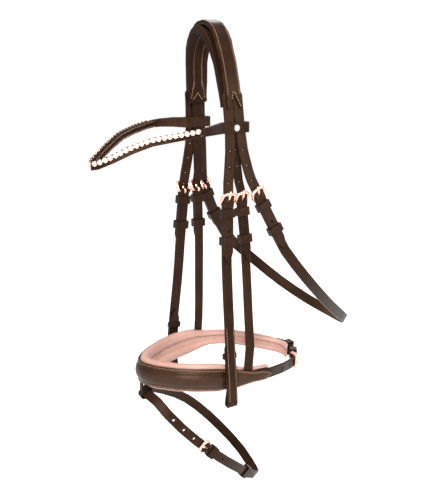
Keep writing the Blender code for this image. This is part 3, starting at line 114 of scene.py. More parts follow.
def facing(obj, way, least=0.99):
    # in edit mode, selects the faces that look this way
    form = bmesh.from_edit_mesh(obj.data)
    for face in form.faces:
        face.select_set(face.normal.dot(way) > least)
    bmesh.update_edit_mesh(obj.data)


def closeUp():
    bpy.ops.mesh.select_all(action="SELECT")
    bpy.ops.mesh.normals_make_consistent(inside=False)
    bpy.ops.object.mode_set(mode="OBJECT")


def applyModifiers(obj):
    take(obj)
    for step in list(obj.modifiers):
        bpy.ops.object.modifier_apply(modifier=step.name)


def mergedCopy(node, name):
    # a node's mesh is loose triangles, so the copy is merged before anything else
    made = bpy.data.objects.new(name, nodes[node].data.copy())
    bpy.context.scene.collection.objects.link(made)
    editAll(made)
    bpy.ops.mesh.remove_doubles(threshold=weldGap)
    bpy.ops.mesh.normals_make_consistent(inside=False)
    bpy.ops.object.mode_set(mode="OBJECT")
    return made


def skinOf(obj):
    mesh = obj.data
    mesh.calc_loop_triangles()
    points = [v.co.copy() for v in mesh.vertices]
    return BVHTree.FromPolygons(points, [t.vertices[:] for t in mesh.loop_triangles])


def bodyOf(node):
    return body_of(nodes[node])[0]


def smoothLine(points, step=0.001):
    points = [Vector(p) for p in points]
    ends = [points[0] * 2 - points[1], *points, points[-1] * 2 - points[-2]]
    found = [points[0].copy()]
    for a, b, c, d in zip(ends, ends[1:], ends[2:], ends[3:]):
        count = max(2, math.ceil((c - b).length / step))
        for i in range(1, count + 1):
            t = i / count
            found.append(0.5 * ((2 * b) + (c - a) * t + (2 * a - 5 * b + 4 * c - d) * t * t
                                + (3 * b - a - 3 * c + d) * t * t * t))
    return found


def alongLine(points, pitch, start=0.0, end=None):
    # (place, direction) at an even pitch along a line
    lengths = [0.0]
    for a, b in zip(points, points[1:]):
        lengths.append(lengths[-1] + (b - a).length)
    end = lengths[-1] if end is None else min(end, lengths[-1])
    count = max(1, round((end - start) / pitch))
    found, at = [], 0
    for i in range(count + 1):
        s = start + (end - start) * i / count
        while at < len(points) - 2 and lengths[at + 1] < s:
            at += 1
        a, b = points[at], points[at + 1]
        part = (s - lengths[at]) / max(lengths[at + 1] - lengths[at], 1e-9)
        found.append((a.lerp(b, part), (b - a).normalized()))
    return found


def lengthOf(line):
    return sum((b - a).length for a, b in zip(line, line[1:]))


def mirrored(points):
    return [(-x, y, z) for x, y, z in points]


def setOn(spot, along, normal):
    # a place on a surface: x runs along its row, z stands out of it
    way = (along - normal * along.dot(normal)).normalized()
    axes = Matrix((way, normal.cross(way), normal)).transposed().to_4x4()
    return Matrix.Translation(spot) @ axes


cameraLook = {"place": (0.763, -0.486, -0.007), "azimuth": 57.0, "down": 14.527, "lens": 57.6, "clip": (0.02, 30.0)}


def addCamera():
    look = cameraLook
    turn, down = math.radians(look["azimuth"]), math.radians(look["down"])
    right = Vector((math.cos(turn), math.sin(turn), 0.0))
    ahead = Vector((-math.sin(turn) * math.cos(down), math.cos(turn) * math.cos(down), -math.sin(down)))
    made = bpy.data.objects.new("camera", bpy.data.cameras.new("camera"))
    made.data.lens = look["lens"]
    made.data.clip_start, made.data.clip_end = look["clip"]
    axes = Matrix((right, right.cross(ahead), -ahead)).transposed().to_4x4()
    made.matrix_world = Matrix.Translation(look["place"]) @ axes
    bpy.context.scene.collection.objects.link(made)
    bpy.context.scene.camera = made


addCamera()
bpy.context.scene.view_settings.view_transform = "Standard"
print("camera set")


def newFinish(name):
    made = bpy.data.materials.new(name)
    made.use_nodes = True
    return made, made.node_tree, made.node_tree.nodes["Principled BSDF"]


def ownSpace(tree):
    return tree.nodes.new("ShaderNodeTexCoord").outputs["Object"]


def noiseNode(tree, space, scale, detail):
    made = tree.nodes.new("ShaderNodeTexNoise")
    made.inputs["Scale"].default_value = scale
    made.inputs["Detail"].default_value = detail
    tree.links.new(space, made.inputs["Vector"])
    return made.outputs["Fac"]


def cellNode(tree, space, scale):
    made = tree.nodes.new("ShaderNodeTexVoronoi")
    made.inputs["Scale"].default_value = scale
    tree.links.new(space, made.inputs["Vector"])
    return made.outputs["Distance"]


def rangeNode(tree, value, low, high, toLow, toHigh):
    made = tree.nodes.new("ShaderNodeMapRange")
    for at, number in enumerate((low, high, toLow, toHigh)):
        made.inputs[at + 1].default_value = number
    tree.links.new(value, made.inputs[0])
    return made.outputs[0]


def mixNode(tree, part, a, b):
    made = tree.nodes.new("ShaderNodeMix")
    made.data_type = "RGBA"
    for socket, value in ((made.inputs[0], part), (made.inputs[6], a), (made.inputs[7], b)):
        if isinstance(value, tuple):
            socket.default_value = (*value, 1.0)
        else:
            tree.links.new(value, socket)
    return made.outputs[2]


def mathNode(tree, kind, a, b):
    made = tree.nodes.new("ShaderNodeMath")
    made.operation = kind
    for socket, value in ((made.inputs[0], a), (made.inputs[1], b)):
        if isinstance(value, float):
            socket.default_value = value
        else:
            tree.links.new(value, socket)
    return made.outputs[0]


def bumpNode(tree, height, strength, distance, normal=None):
    made = tree.nodes.new("ShaderNodeBump")
    made.inputs["Strength"].default_value = strength
    made.inputs["Distance"].default_value = distance
    tree.links.new(height, made.inputs["Height"])
    if normal is not None:
        tree.links.new(normal, made.inputs["Normal"])
    return made.outputs["Normal"]


def grainHeight(tree, cells, cellRise, pores, poreRise):
    return mathNode(tree, "ADD", mathNode(tree, "MULTIPLY", cells, cellRise), mathNode(tree, "MULTIPLY", pores, poreRise))


def cornerMask(tree, radius):
    # how near the surface is to a corner, and the normal rounded there
    soft = tree.nodes.new("ShaderNodeBevel")
    soft.samples = 6
    soft.inputs["Radius"].default_value = radius
    flat = tree.nodes.new("ShaderNodeNewGeometry")
    turned = tree.nodes.new("ShaderNodeVectorMath")
    turned.operation = "DOT_PRODUCT"
    tree.links.new(soft.outputs[0], turned.inputs[0])
    tree.links.new(flat.outputs["Normal"], turned.inputs[1])
    return rangeNode(tree, turned.outputs["Value"], 0.995, 0.86, 0.0, 1.0), soft.outputs[0]


studioLook = {"floorDrop": 0.05, "floorSize": 9.0, "floorColour": (0.90, 0.90, 0.90, 1.0), "floorRough": 0.9,
              "floorLift": 0.80, "airColour": (1.0, 1.0, 1.0, 1.0), "fill": 0.13, "middle": (0.0, 0.02, -0.28)}
lampLook = {
    "key_lamp": {"place": (0.95, -0.75, 0.95), "size": 0.45, "power": 42.0},
    "side_lamp": {"place": (1.35, 0.55, 0.10), "size": 0.8, "power": 8.0},
    "back_lamp": {"place": (-0.9, 0.9, 0.8), "size": 0.8, "power": 6.0},
    "front_lamp": {"place": (0.98, -0.77, -0.29), "size": 0.30, "power": 4.5},
}


def backdropRays(tree):
    # rays that meet the backdrop straight, in a mirror or through glass
    rays = tree.nodes.new("ShaderNodeLightPath").outputs
    either = mathNode(tree, "MAXIMUM", rays["Is Camera Ray"], rays["Is Glossy Ray"])
    return mathNode(tree, "MAXIMUM", either, rays["Is Transmission Ray"])


def pickShader(tree, part, a, b, socket):
    made = tree.nodes.new("ShaderNodeMixShader")
    for source, place in zip((part, a, b), made.inputs):
        tree.links.new(source, place)
    tree.links.new(made.outputs[0], socket)


def addFloor():
    look = studioLook
    low = cadBox[0].z - look["floorDrop"]
    bare()
    bpy.ops.mesh.primitive_grid_add(x_subdivisions=4, y_subdivisions=4, size=look["floorSize"], location=(0, 0, low))
    floor = bpy.context.object
    floor.name = "studio_floor"
    bpy.ops.object.transform_apply(location=True)
    paint, tree, shader = newFinish("pale_floor")
    shader.inputs["Base Color"].default_value = look["floorColour"]
    shader.inputs["Roughness"].default_value = look["floorRough"]
    # seen straight on, the floor is lifted to white and still keeps the shadow
    white = tree.nodes.new("ShaderNodeEmission")
    white.inputs["Strength"].default_value = look["floorLift"]
    lifted = tree.nodes.new("ShaderNodeAddShader")
    tree.links.new(shader.outputs[0], lifted.inputs[0])
    tree.links.new(white.outputs[0], lifted.inputs[1])
    surface = tree.nodes["Material Output"].inputs["Surface"]
    pickShader(tree, backdropRays(tree), shader.outputs[0], lifted.outputs[0], surface)
    floor.data.materials.append(paint)


def addAir():
    world = bpy.data.worlds.new("studio_air")
    bpy.context.scene.world = world
    world.use_nodes = True
    tree = world.node_tree
    dim, bright = tree.nodes["Background"], tree.nodes.new("ShaderNodeBackground")
    for node, strength in ((dim, studioLook["fill"]), (bright, 1.0)):
        node.inputs["Color"].default_value = studioLook["airColour"]
        node.inputs["Strength"].default_value = strength
    surface = tree.nodes["World Output"].inputs["Surface"]
    pickShader(tree, backdropRays(tree), dim.outputs[0], bright.outputs[0], surface)


def addLamp(name, look):
    data = bpy.data.lights.new(name, "AREA")
    data.shape, data.size, data.energy = "DISK", look["size"], look["power"]
    made = bpy.data.objects.new(name, data)
    made.location = look["place"]
    made.rotation_mode = "QUATERNION"
    made.rotation_quaternion = (Vector(studioLook["middle"]) - Vector(look["place"])).to_track_quat("-Z", "Y")
    bpy.context.scene.collection.objects.link(made)


addFloor()
addAir()
for name, look in lampLook.items():
    addLamp(name, look)
print("studio set")


leatherLook = {
    "strapLeather": {"deep": (0.0125, 0.0050, 0.0026), "warm": (0.0270, 0.0118, 0.0066), "worn": (0.125, 0.062, 0.037),
                     "edge": (0.007, 0.0035, 0.0025), "rough": (0.24, 0.38), "grain": 620.0, "grainDepth": 0.00022,
                     "corner": 0.0008, "shine": 0.13},
    "softLeather": {"deep": (0.0110, 0.0049, 0.0030), "warm": (0.0230, 0.0104, 0.0065), "worn": (0.080, 0.045, 0.030),
                    "edge": (0.012, 0.006, 0.0045), "rough": (0.48, 0.62), "grain": 480.0, "grainDepth": 0.00030,
                    "corner": 0.0010, "shine": 0.09},
    # the hole walls are burnished leather made darker still, as painted shade inside the holes
    "holeWallShade": {"deep": (0.006, 0.003, 0.002), "warm": (0.014, 0.007, 0.005), "worn": (0.040, 0.020, 0.013),
                 "edge": (0.006, 0.003, 0.002), "rough": (0.50, 0.65), "grain": 900.0, "grainDepth": 0.00010,
                 "corner": 0.0003, "shine": 0.2},
    "noseLeather": {"deep": (0.0135, 0.0056, 0.0031), "warm": (0.0290, 0.0128, 0.0073), "worn": (0.140, 0.072, 0.045),
                    "edge": (0.008, 0.004, 0.003), "rough": (0.22, 0.34), "grain": 520.0, "grainDepth": 0.00034,
                    "corner": 0.0008, "shine": 0.32},
}
hideLook = {"cloud": 34.0, "pores": 2600.0, "scuffs": 210.0, "scuffShare": 0.75, "edgeShare": 0.55, "cellShare": 0.35,
            "cellRise": 0.8, "poreRise": 0.4, "bump": 0.35, "tint": (1.0, 0.64, 0.44, 1.0)}  # the same on all leather


def leatherFinish(name):
    look = {**hideLook, **leatherLook[name]}
    made, tree, shader = newFinish(name)
    space = ownSpace(tree)
    broad = noiseNode(tree, space, look["cloud"], 4.0)
    pores = noiseNode(tree, space, look["pores"], 2.0)
    cells = cellNode(tree, space, look["grain"])
    near, soft = cornerMask(tree, look["corner"])
    colour = mixNode(tree, rangeNode(tree, broad, 0.32, 0.70, 0.0, 1.0), look["deep"], look["warm"])
    colour = mixNode(tree, rangeNode(tree, cells, 0.0, 0.75, look["cellShare"], 0.0), colour, look["deep"])
    scuffs = rangeNode(tree, noiseNode(tree, space, look["scuffs"], 3.0), 0.50, 0.66, 0.0, look["scuffShare"])
    wear = mathNode(tree, "MULTIPLY", near, scuffs)
    colour = mixNode(tree, mathNode(tree, "MULTIPLY", near, look["edgeShare"]), colour, look["edge"])
    colour = mixNode(tree, wear, colour, look["worn"])
    tree.links.new(colour, shader.inputs["Base Color"])
    mottle = mathNode(tree, "ADD", broad, pores)
    tree.links.new(rangeNode(tree, mottle, 0.7, 1.3, *look["rough"]), shader.inputs["Roughness"])
    rise = grainHeight(tree, cells, look["cellRise"], pores, look["poreRise"])
    tree.links.new(bumpNode(tree, rise, look["bump"], look["grainDepth"], soft), shader.inputs["Normal"])
    shader.inputs["Specular IOR Level"].default_value = look["shine"]
    shader.inputs["Specular Tint"].default_value = look["tint"]
    return made


# the lining's fold colour, with its reach and share, is painted shade laid into the creases that ambient occlusion
# finds
liningLook = {"pale": (0.560, 0.330, 0.270), "deep": (0.440, 0.235, 0.184), "paintedFoldShade": (0.190, 0.080, 0.057),
              "cloud": 26.0, "grain": 780.0, "pores": 3000.0, "corner": 0.0008, "paintedShadeReach": 0.004, "paintedShadeShare": 0.80,
              "cellShare": 0.16, "rough": (0.50, 0.66), "cellRise": 0.7, "poreRise": 0.4, "bump": 0.30,
              "grainDepth": 0.00018, "sheen": 0.25, "sheenRough": 0.4}


def liningFinish():
    look = liningLook
    made, tree, shader = newFinish("roseLining")
    space = ownSpace(tree)
    broad = noiseNode(tree, space, look["cloud"], 3.0)
    cells = cellNode(tree, space, look["grain"])
    pores = noiseNode(tree, space, look["pores"], 2.0)
    soft = cornerMask(tree, look["corner"])[1]
    # painted shade: the lining is darkened where ambient occlusion finds creases and the hollows between its rolls
    hollow = tree.nodes.new("ShaderNodeAmbientOcclusion")
    hollow.samples = 6
    hollow.inputs["Distance"].default_value = look["paintedShadeReach"]
    colour = mixNode(tree, rangeNode(tree, broad, 0.30, 0.70, 0.0, 1.0), look["deep"], look["pale"])
    paintedShade = rangeNode(tree, hollow.outputs["AO"], 0.30, 0.80, look["paintedShadeShare"], 0.0)
    colour = mixNode(tree, paintedShade, colour, look["paintedFoldShade"])
    colour = mixNode(tree, rangeNode(tree, cells, 0.0, 0.7, look["cellShare"], 0.0), colour, look["deep"])
    tree.links.new(colour, shader.inputs["Base Color"])
    tree.links.new(rangeNode(tree, pores, 0.3, 0.7, *look["rough"]), shader.inputs["Roughness"])
    rise = grainHeight(tree, cells, look["cellRise"], pores, look["poreRise"])
    tree.links.new(bumpNode(tree, rise, look["bump"], look["grainDepth"], soft), shader.inputs["Normal"])
    shader.inputs["Sheen Weight"].default_value = look["sheen"]
    shader.inputs["Sheen Roughness"].default_value = look["sheenRough"]
    return made


metalLook = {
    "roseGold": {"colour": (0.88, 0.50, 0.39), "dull": (0.66, 0.33, 0.24), "rough": (0.22, 0.36)},
    "pewter": {"colour": (0.52, 0.50, 0.48), "dull": (0.20, 0.19, 0.18), "rough": (0.24, 0.40)},
    "claw": {"colour": (0.58, 0.40, 0.31), "dull": (0.30, 0.19, 0.14), "rough": (0.16, 0.30)},
}
polishLook = {"cloud": 240.0, "scratches": 3400.0, "corner": 0.0005, "dullShare": 0.55, "bump": 0.12, "depth": 0.00004}


def metalFinish(name):
    look = {**polishLook, **metalLook[name]}
    made, tree, shader = newFinish(name)
    space = ownSpace(tree)
    cloud = noiseNode(tree, space, look["cloud"], 4.0)
    fine = noiseNode(tree, space, look["scratches"], 2.0)
    soft = cornerMask(tree, look["corner"])[1]
    colour = mixNode(tree, rangeNode(tree, cloud, 0.38, 0.70, 0.0, look["dullShare"]), look["colour"], look["dull"])
    tree.links.new(colour, shader.inputs["Base Color"])
    shader.inputs["Metallic"].default_value = 1.0
    tree.links.new(rangeNode(tree, cloud, 0.3, 0.7, *look["rough"]), shader.inputs["Roughness"])
    tree.links.new(bumpNode(tree, fine, look["bump"], look["depth"], soft), shader.inputs["Normal"])
    return made


# the stones' colour swings between bright and dark spots as painted glints of their facets
crystalLook = {"bright": (0.98, 0.88, 0.80), "dark": (0.55, 0.38, 0.29), "paintedGlints": 900.0, "facets": 520.0,
               "rough": (0.03, 0.09), "metal": 0.35, "coatRough": 0.02, "coatIor": 1.7}


def crystalFinish():
    look = crystalLook
    made, tree, shader = newFinish("champagneCrystal")
    space = ownSpace(tree)
    facets = cellNode(tree, space, look["facets"])
    # painted glints: noise lightens and darkens the stones' colour in spots
    paintedGlints = rangeNode(tree, noiseNode(tree, space, look["paintedGlints"], 1.0), 0.40, 0.62, 0.0, 1.0)
    tree.links.new(mixNode(tree, paintedGlints, look["bright"], look["dark"]), shader.inputs["Base Color"])
    tree.links.new(rangeNode(tree, facets, 0.0, 1.0, *look["rough"]), shader.inputs["Roughness"])
    shader.inputs["Metallic"].default_value = look["metal"]
    shader.inputs["Coat Weight"].default_value = 1.0
    shader.inputs["Coat Roughness"].default_value = look["coatRough"]
    shader.inputs["Coat IOR"].default_value = look["coatIor"]
    return made


threadLook = {"tan": {"pale": (0.50, 0.29, 0.17), "deep": (0.32, 0.17, 0.095)},
              "rose": {"pale": (0.78, 0.50, 0.42), "deep": (0.50, 0.28, 0.22)}}
plyLook = {"twist": 900.0, "wander": 1.5, "rough": 0.55, "bump": 0.4, "depth": 0.0001}


def threadFinish(name):
    look = {**plyLook, **threadLook[name]}
    made, tree, shader = newFinish(name + "Thread")
    ply = tree.nodes.new("ShaderNodeTexWave")
    ply.inputs["Scale"].default_value = look["twist"]
    ply.inputs["Distortion"].default_value = look["wander"]
    tree.links.new(ownSpace(tree), ply.inputs["Vector"])
    colour = mixNode(tree, rangeNode(tree, ply.outputs["Fac"], 0.0, 1.0, 0.0, 1.0), look["deep"], look["pale"])
    tree.links.new(colour, shader.inputs["Base Color"])
    shader.inputs["Roughness"].default_value = look["rough"]
    tree.links.new(bumpNode(tree, ply.outputs["Fac"], look["bump"], look["depth"]), shader.inputs["Normal"])
    return made


finishes = {name: leatherFinish(name) for name in leatherLook}
finishes.update({name: metalFinish(name) for name in metalLook})
finishes["roseLining"] = liningFinish()
finishes["crystal"] = crystalFinish()
finishes.update({name + "Thread": threadFinish(name) for name in threadLook})


def coat(obj, finish):
    obj.data.materials.clear()
    obj.data.materials.append(finishes[finish])


def finishOf(name):
    if name.endswith(("_frame", "_tongue")):
        return "roseGold"
    if name == "browband_stud":
        return "pewter"
    if name in ("browband_lining", "crown_pad", "noseband_headstrap", "flash_loop"):
        return "softLeather"
    if name == "noseband_front":
        return "noseLeather"
    return "strapLeather"


for name, node in nodes.items():
    if not node.data.materials:
        node.data.materials.append(None)
    for slot in range(len(node.data.materials)):
        node.data.materials[slot] = finishes[finishOf(name)]
print("finishes made:", len(finishes))

# every strap, keeper and loop is drawn smooth round its bends, with its corners taken off
strapLook = {"corner": 0.00030, "steps": 2, "cornerAngle": 50.0, "smoothAngle": 34.0, "quadFlat": 12.0, "quadShape": 70.0}
padNodes = ("noseband_lining", "crown_pad")


def cutLeather(node):
    look = strapLook
    made = mergedCopy(node, node + "_cut")
    editAll(made)
    bpy.ops.mesh.tris_convert_to_quads(face_threshold=math.radians(look["quadFlat"]),
                                       shape_threshold=math.radians(look["quadShape"]))
    bpy.ops.object.mode_set(mode="OBJECT")
    step = made.modifiers.new("corner", "BEVEL")
    step.width, step.segments = look["corner"], look["steps"]
    step.limit_method, step.angle_limit = "ANGLE", math.radians(look["cornerAngle"])
    step.use_clamp_overlap = True
    applyModifiers(made)
    bpy.ops.object.shade_smooth_by_angle(angle=math.radians(look["smoothAngle"]))
    step = made.modifiers.new("even", "WEIGHTED_NORMAL")  # keeps the flats of a strap even beside its bends
    step.keep_sharp = True
    applyModifiers(made)
    finish = finishOf(node)
    coat(made, finish)
    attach(made, bodyOf(node))
    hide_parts(node)
    return made


cut = {}
for name in sorted(nodes):
    if finishOf(name) in leatherLook and name not in padNodes and name != "crystal_chain":
        cut[name] = cutLeather(name)
print("leather cut:", len(cut))

# the bent frames and tongues of the buckles, with their round sections drawn smooth
buckleLook = {"rounds": 2, "fatten": 0.00085, "quadAngle": 50.0}


def smoothWire(node):
    made = mergedCopy(node, node.replace("_frame", "_wire").replace("_tongue", "_pin"))
    editAll(made)
    limit = math.radians(buckleLook["quadAngle"])
    bpy.ops.mesh.tris_convert_to_quads(face_threshold=limit, shape_threshold=limit)
    bpy.ops.transform.shrink_fatten(value=buckleLook["fatten"])  # makes up for what rounding takes off
    bpy.ops.object.mode_set(mode="OBJECT")
    step = made.modifiers.new("round", "SUBSURF")
    step.levels = step.render_levels = buckleLook["rounds"]
    applyModifiers(made)
    bpy.ops.object.shade_smooth()
    coat(made, "roseGold")
    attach(made, bodyOf(node))
    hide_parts(node)


for name in sorted(nodes):
    if name.endswith(("_frame", "_tongue")):
        smoothWire(name)
print("buckles rounded")

# the rose lining and the crown's pad are swelled by cloth from a slightly smaller copy
padLook = {
    "noseband_lining": {"name": "noseband_padding", "finish": "roseLining", "slot": "lining", "voxel": 0.0009,
                        "tuck": 0.00005, "swell": 0.0009, "clear": 0.00035, "pressure": 4.0, "fill": 0.75},
    "crown_pad": {"name": "crown_padding", "finish": "softLeather", "slot": "soft_leather", "voxel": 0.0011,
                  "tuck": 0.0004, "swell": 0.0008, "clear": 0.00035, "pressure": 4.0, "fill": 0.7},
}
clothLook = {"quality": 4, "stretch": 30.0, "bend": 2.0, "frames": 20, "even": 0.5, "evenRounds": 4,
             "beside": 0.002, "look": 0.01}


def swelled(node):
    look = padLook[node]
    made = mergedCopy(node, look["name"])
    editAll(made)
    bpy.ops.transform.shrink_fatten(value=-look["tuck"])
    bpy.ops.object.mode_set(mode="OBJECT")
    made.data.remesh_voxel_size = look["voxel"]
    bpy.ops.object.voxel_remesh()
    step = made.modifiers.new("even", "SMOOTH")
    step.factor, step.iterations = clothLook["even"], clothLook["evenRounds"]
    applyModifiers(made)
    start = [v.co.copy() for v in made.data.vertices]
    puff(made, look)
    keepClear(made, start, look, [skinOf(nodes[n]) for n in nearTo(node)])
    for polygon in made.data.polygons:
        polygon.use_smooth = True
    coat(made, look["finish"])
    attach(made, bodyOf(node))
    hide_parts(node)
    return made


def nearTo(node):
    low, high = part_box(node)
    beside = clothLook["beside"]
    found = []
    for other in nodes:
        a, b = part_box(other)
        if other != node and all(a[i] < high[i] + beside and b[i] > low[i] - beside for i in range(3)):
            found.append(other)
    return found


def puff(made, look):
    step = made.modifiers.new("puff", "CLOTH")
    settings = step.settings
    settings.quality = clothLook["quality"]
    settings.use_pressure = True
    settings.uniform_pressure_force = look["pressure"]
    settings.tension_stiffness = settings.compression_stiffness = clothLook["stretch"]
    settings.bending_stiffness = clothLook["bend"]
    settings.effector_weights.gravity = 0.0
    step.collision_settings.use_collision = False
    for turn in range(1, clothLook["frames"] + 1):
        bpy.context.scene.frame_set(turn)
    take(made)
    bpy.ops.object.modifier_apply(modifier=step.name)
    bpy.context.scene.frame_set(1)


def keepClear(made, start, look, neighbours):
    # a point goes out no further than the cap, and stays clear of what lies beside the pad
    far = clothLook["look"]
    for vertex, first in zip(made.data.vertices, start):
        near = min((skin.find_nearest(first, far)[3] or far for skin in neighbours), default=far)
        most = min(look["swell"], max(0.0, near - look["clear"]))
        moved = vertex.co - first
        if moved.length > most:
            vertex.co = first + moved * (most / moved.length)


pads = {node: swelled(node) for node in padNodes}
print("pads swelled")

# the middle lines of the straps, along which pads, seams and holes are laid
bridleLines = {
    "crown": [(0.0, -0.0030, 0.0113), (0.0115, -0.0029, 0.0085), (0.0215, -0.0027, -0.0020),
              (0.0285, -0.0025, -0.0150), (0.0332, -0.0010, -0.0320), (0.0358, 0.0010, -0.0520),
              (0.0375, 0.0027, -0.0760), (0.0390, 0.0040, -0.0960)],
    "noseFront": [(0.0, -0.0886, -0.3760), (0.0185, -0.0775, -0.3760), (0.0360, -0.0540, -0.3760),
                  (0.0495, -0.0225, -0.3760), (0.0575, 0.0120, -0.3765), (0.0560, 0.0440, -0.3784)],
    "noseRear": [(0.0480, 0.0655, -0.3810), (0.0384, 0.0826, -0.3840), (0.0300, 0.0922, -0.3853),
                 (0.0205, 0.0993, -0.3856), (0.0106, 0.1052, -0.3854), (0.0045, 0.1080, -0.3852),
                 (-0.0060, 0.1095, -0.3850), (-0.0170, 0.1050, -0.3850), (-0.0265, 0.0972, -0.3848),
                 (-0.0335, 0.0880, -0.3836), (-0.0395, 0.0780, -0.3822), (-0.0455, 0.0680, -0.3806)],
    "brow": [(0.0397, 0.0040, -0.0960), (0.0415, -0.0130, -0.0960), (0.0505, -0.0270, -0.0958),
             (0.0560, -0.0430, -0.0970), (0.0523, -0.0623, -0.0999), (0.0434, -0.0803, -0.1031),
             (0.0335, -0.0980, -0.1071), (0.0239, -0.1148, -0.1146), (0.0132, -0.1335, -0.1247),
             (0.0058, -0.1438, -0.1298), (0.0, -0.1473, -0.1310)],
    "cheekTop": [(0.0390, -0.0025, -0.0960), (0.0410, -0.0034, -0.1280), (0.0438, -0.0076, -0.1560),
                 (0.0454, -0.0093, -0.1770), (0.0490, -0.0116, -0.2180), (0.0508, -0.0129, -0.2390)],
    "cheekNear": [(0.0536, -0.0134, -0.2700), (0.0580, -0.0143, -0.3080), (0.0646, -0.0154, -0.3560),
                  (0.0672, -0.0153, -0.3840), (0.0682, -0.0150, -0.4050)],
    "cheekFar": [(-0.0542, -0.0134, -0.2700), (-0.0598, -0.0144, -0.3080), (-0.0675, -0.0158, -0.3560),
                 (-0.0702, -0.0162, -0.3840), (-0.0718, -0.0163, -0.4050)],
    "hanger": [(0.0390, 0.0040, -0.0960), (0.0412, 0.0060, -0.1280), (0.0438, 0.0083, -0.1560),
               (0.0454, 0.0094, -0.1770), (0.0484, 0.0122, -0.2180), (0.0499, 0.0134, -0.2390)],
    "throatNear": [(0.0390, 0.0105, -0.0960), (0.0415, 0.0150, -0.1280), (0.0464, 0.0222, -0.1560),
                   (0.0497, 0.0302, -0.1740), (0.0568, 0.0487, -0.2130), (0.0605, 0.0587, -0.2340),
                   (0.0618, 0.0790, -0.2600)],
    "throatFar": [(-0.0390, 0.0105, -0.0960), (-0.0422, 0.0142, -0.1280), (-0.0488, 0.0190, -0.1560),
                  (-0.0535, 0.0245, -0.1765), (-0.0602, 0.0440, -0.2140), (-0.0630, 0.0555, -0.2345),
                  (-0.0650, 0.0790, -0.2590)],
}
noseTilt = (Matrix.Translation((0, 0, -0.3640)) @ Matrix.Rotation(math.radians(-7.0), 4, "Z")
            @ Matrix.Rotation(math.radians(4.3), 4, "Y") @ Matrix.Translation((0, 0, 0.3640)))
# what each line goes round, so that out of the head is known
crownMiddle = Vector((0.0, 0.0, -0.0660))
cheekMiddle = Vector((0.0, 0.0, -0.3000))
browMiddle = Vector((0.0, -0.0500, -0.1000))


def bothSides(points):
    return mirrored(points[:0:-1]) + points


crownLine = smoothLine(bothSides(bridleLines["crown"]))
browLine = smoothLine(bridleLines["brow"][:-1] + mirrored(bridleLines["brow"][::-1]))
noseRing = smoothLine([noseTilt @ Vector(q) for q in
                       bridleLines["noseRear"] + mirrored(bridleLines["noseFront"][::-1])
                       + bridleLines["noseFront"][1:] + bridleLines["noseRear"][:1]])
cheekLine = {"near": smoothLine(bridleLines["cheekTop"] + bridleLines["cheekNear"]),
             "far": smoothLine(mirrored(bridleLines["cheekTop"]) + bridleLines["cheekFar"])}
noseMiddle = sum(noseRing, Vector()) / len(noseRing)
noseUp = (noseTilt.to_3x3() @ up).normalized()


def strapFrame(place, along, across, middle):
    side = (across - along * across.dot(along)).normalized()
    out = along.cross(side)
    if out.dot(place - middle) < 0:
        out = -out
    return side, out


# channels are drawn in, rolls stand proud, and the lining has ribs where it bends round the nose
liningForm = {"seam": 0.31, "draw": 0.0011, "drawWidth": 0.0011, "roll": 0.0010, "rollShape": 0.7,
              "rib": 0.00060, "ribPitch": 0.0050, "crease": 0.70, "creaseDraw": 0.00060, "creaseWidth": 0.0008,
              "ripple": 0.00010, "ripplePitch": 0.0093, "least": 0.0007, "inside": -0.15, "group": 6}
padForm = {"seam": 0.0052, "draw": 0.0008, "drawWidth": 0.0011, "ripple": 0.00008, "inside": -0.2}


def alongTable(line):
    tree = KDTree(len(line))
    lengths = [0.0]
    for i, place in enumerate(line):
        tree.insert(place, i)
        if i:
            lengths.append(lengths[-1] + (place - line[i - 1]).length)
    tree.balance()
    return tree, lengths


def strapPlaces(made, line, across, middle):
    # for every point: how far along the strap it is, how high, and which way is out
    tree, lengths = alongTable(line)
    found = []
    for vertex in made.data.vertices:
        place, i, _ = tree.find(vertex.co)
        along = (line[min(i + 1, len(line) - 1)] - line[max(i - 1, 0)]).normalized()
        side, out = strapFrame(place, along, across, middle)
        found.append((lengths[i], i, (vertex.co - place).dot(side), out))
    return found


def dip(value, width):
    return math.exp(-(value / width) ** 2)


def formLining(made):
    look = liningForm
    normals = [v.normal.copy() for v in made.data.vertices]  # read once, before any point moves
    before = skinOf(made)
    found = strapPlaces(made, noseRing, noseUp, noseMiddle)
    half = {}
    for s, i, height, out in found:
        group = i // look["group"]
        half[group] = max(half.get(group, 0.0), abs(height))
    for vertex, normal, (s, i, height, out) in zip(made.data.vertices, normals, found):
        if normal.dot(out) > look["inside"]:
            continue
        whole = max(half[i // look["group"]], 0.004)
        share = abs(height) / whole
        move = look["draw"] * dip((share - look["seam"]) * whole, look["drawWidth"])
        move += look["creaseDraw"] * dip((share - look["crease"]) * whole, look["creaseWidth"])
        if share > look["seam"]:
            part = (share - look["seam"]) / (1 - look["seam"])
            move -= look["roll"] * math.sin(math.pi * min(1.0, part)) ** look["rollShape"]
            move += look["ripple"] * math.sin(2 * math.pi * s / look["ripplePitch"] + 3 * math.sin(s * 90))
        else:
            part = 1 - (share / look["seam"]) ** 2
            swing = 0.55 + 0.45 * math.sin(s * 47.0 + 1.3)
            move += look["rib"] * part * swing * math.sin(2 * math.pi * s / look["ribPitch"] + 1.2 * math.sin(s * 210))
        if move > 0:  # the seams draw in only as far as the padding is thick
            thick = before.ray_cast(vertex.co + out * 0.00015, out, 0.02)[3]
            move = min(move, max(0.0, (thick or 0.0) - look["least"]))
        vertex.co += out * move


def formPad(made):
    look = padForm
    normals = [v.normal.copy() for v in made.data.vertices]
    found = strapPlaces(made, crownLine, back, crownMiddle)
    for vertex, normal, (s, i, height, out) in zip(made.data.vertices, normals, found):
        if normal.dot(out) < look["inside"]:
            move = look["draw"] * dip(abs(height) - look["seam"], look["drawWidth"])
            move += look["ripple"] * math.sin(s * 700 + 2 * math.sin(s * 130))
            vertex.co += out * move


formLining(pads["noseband_lining"])
formPad(pads["crown_pad"])
print("pads formed")

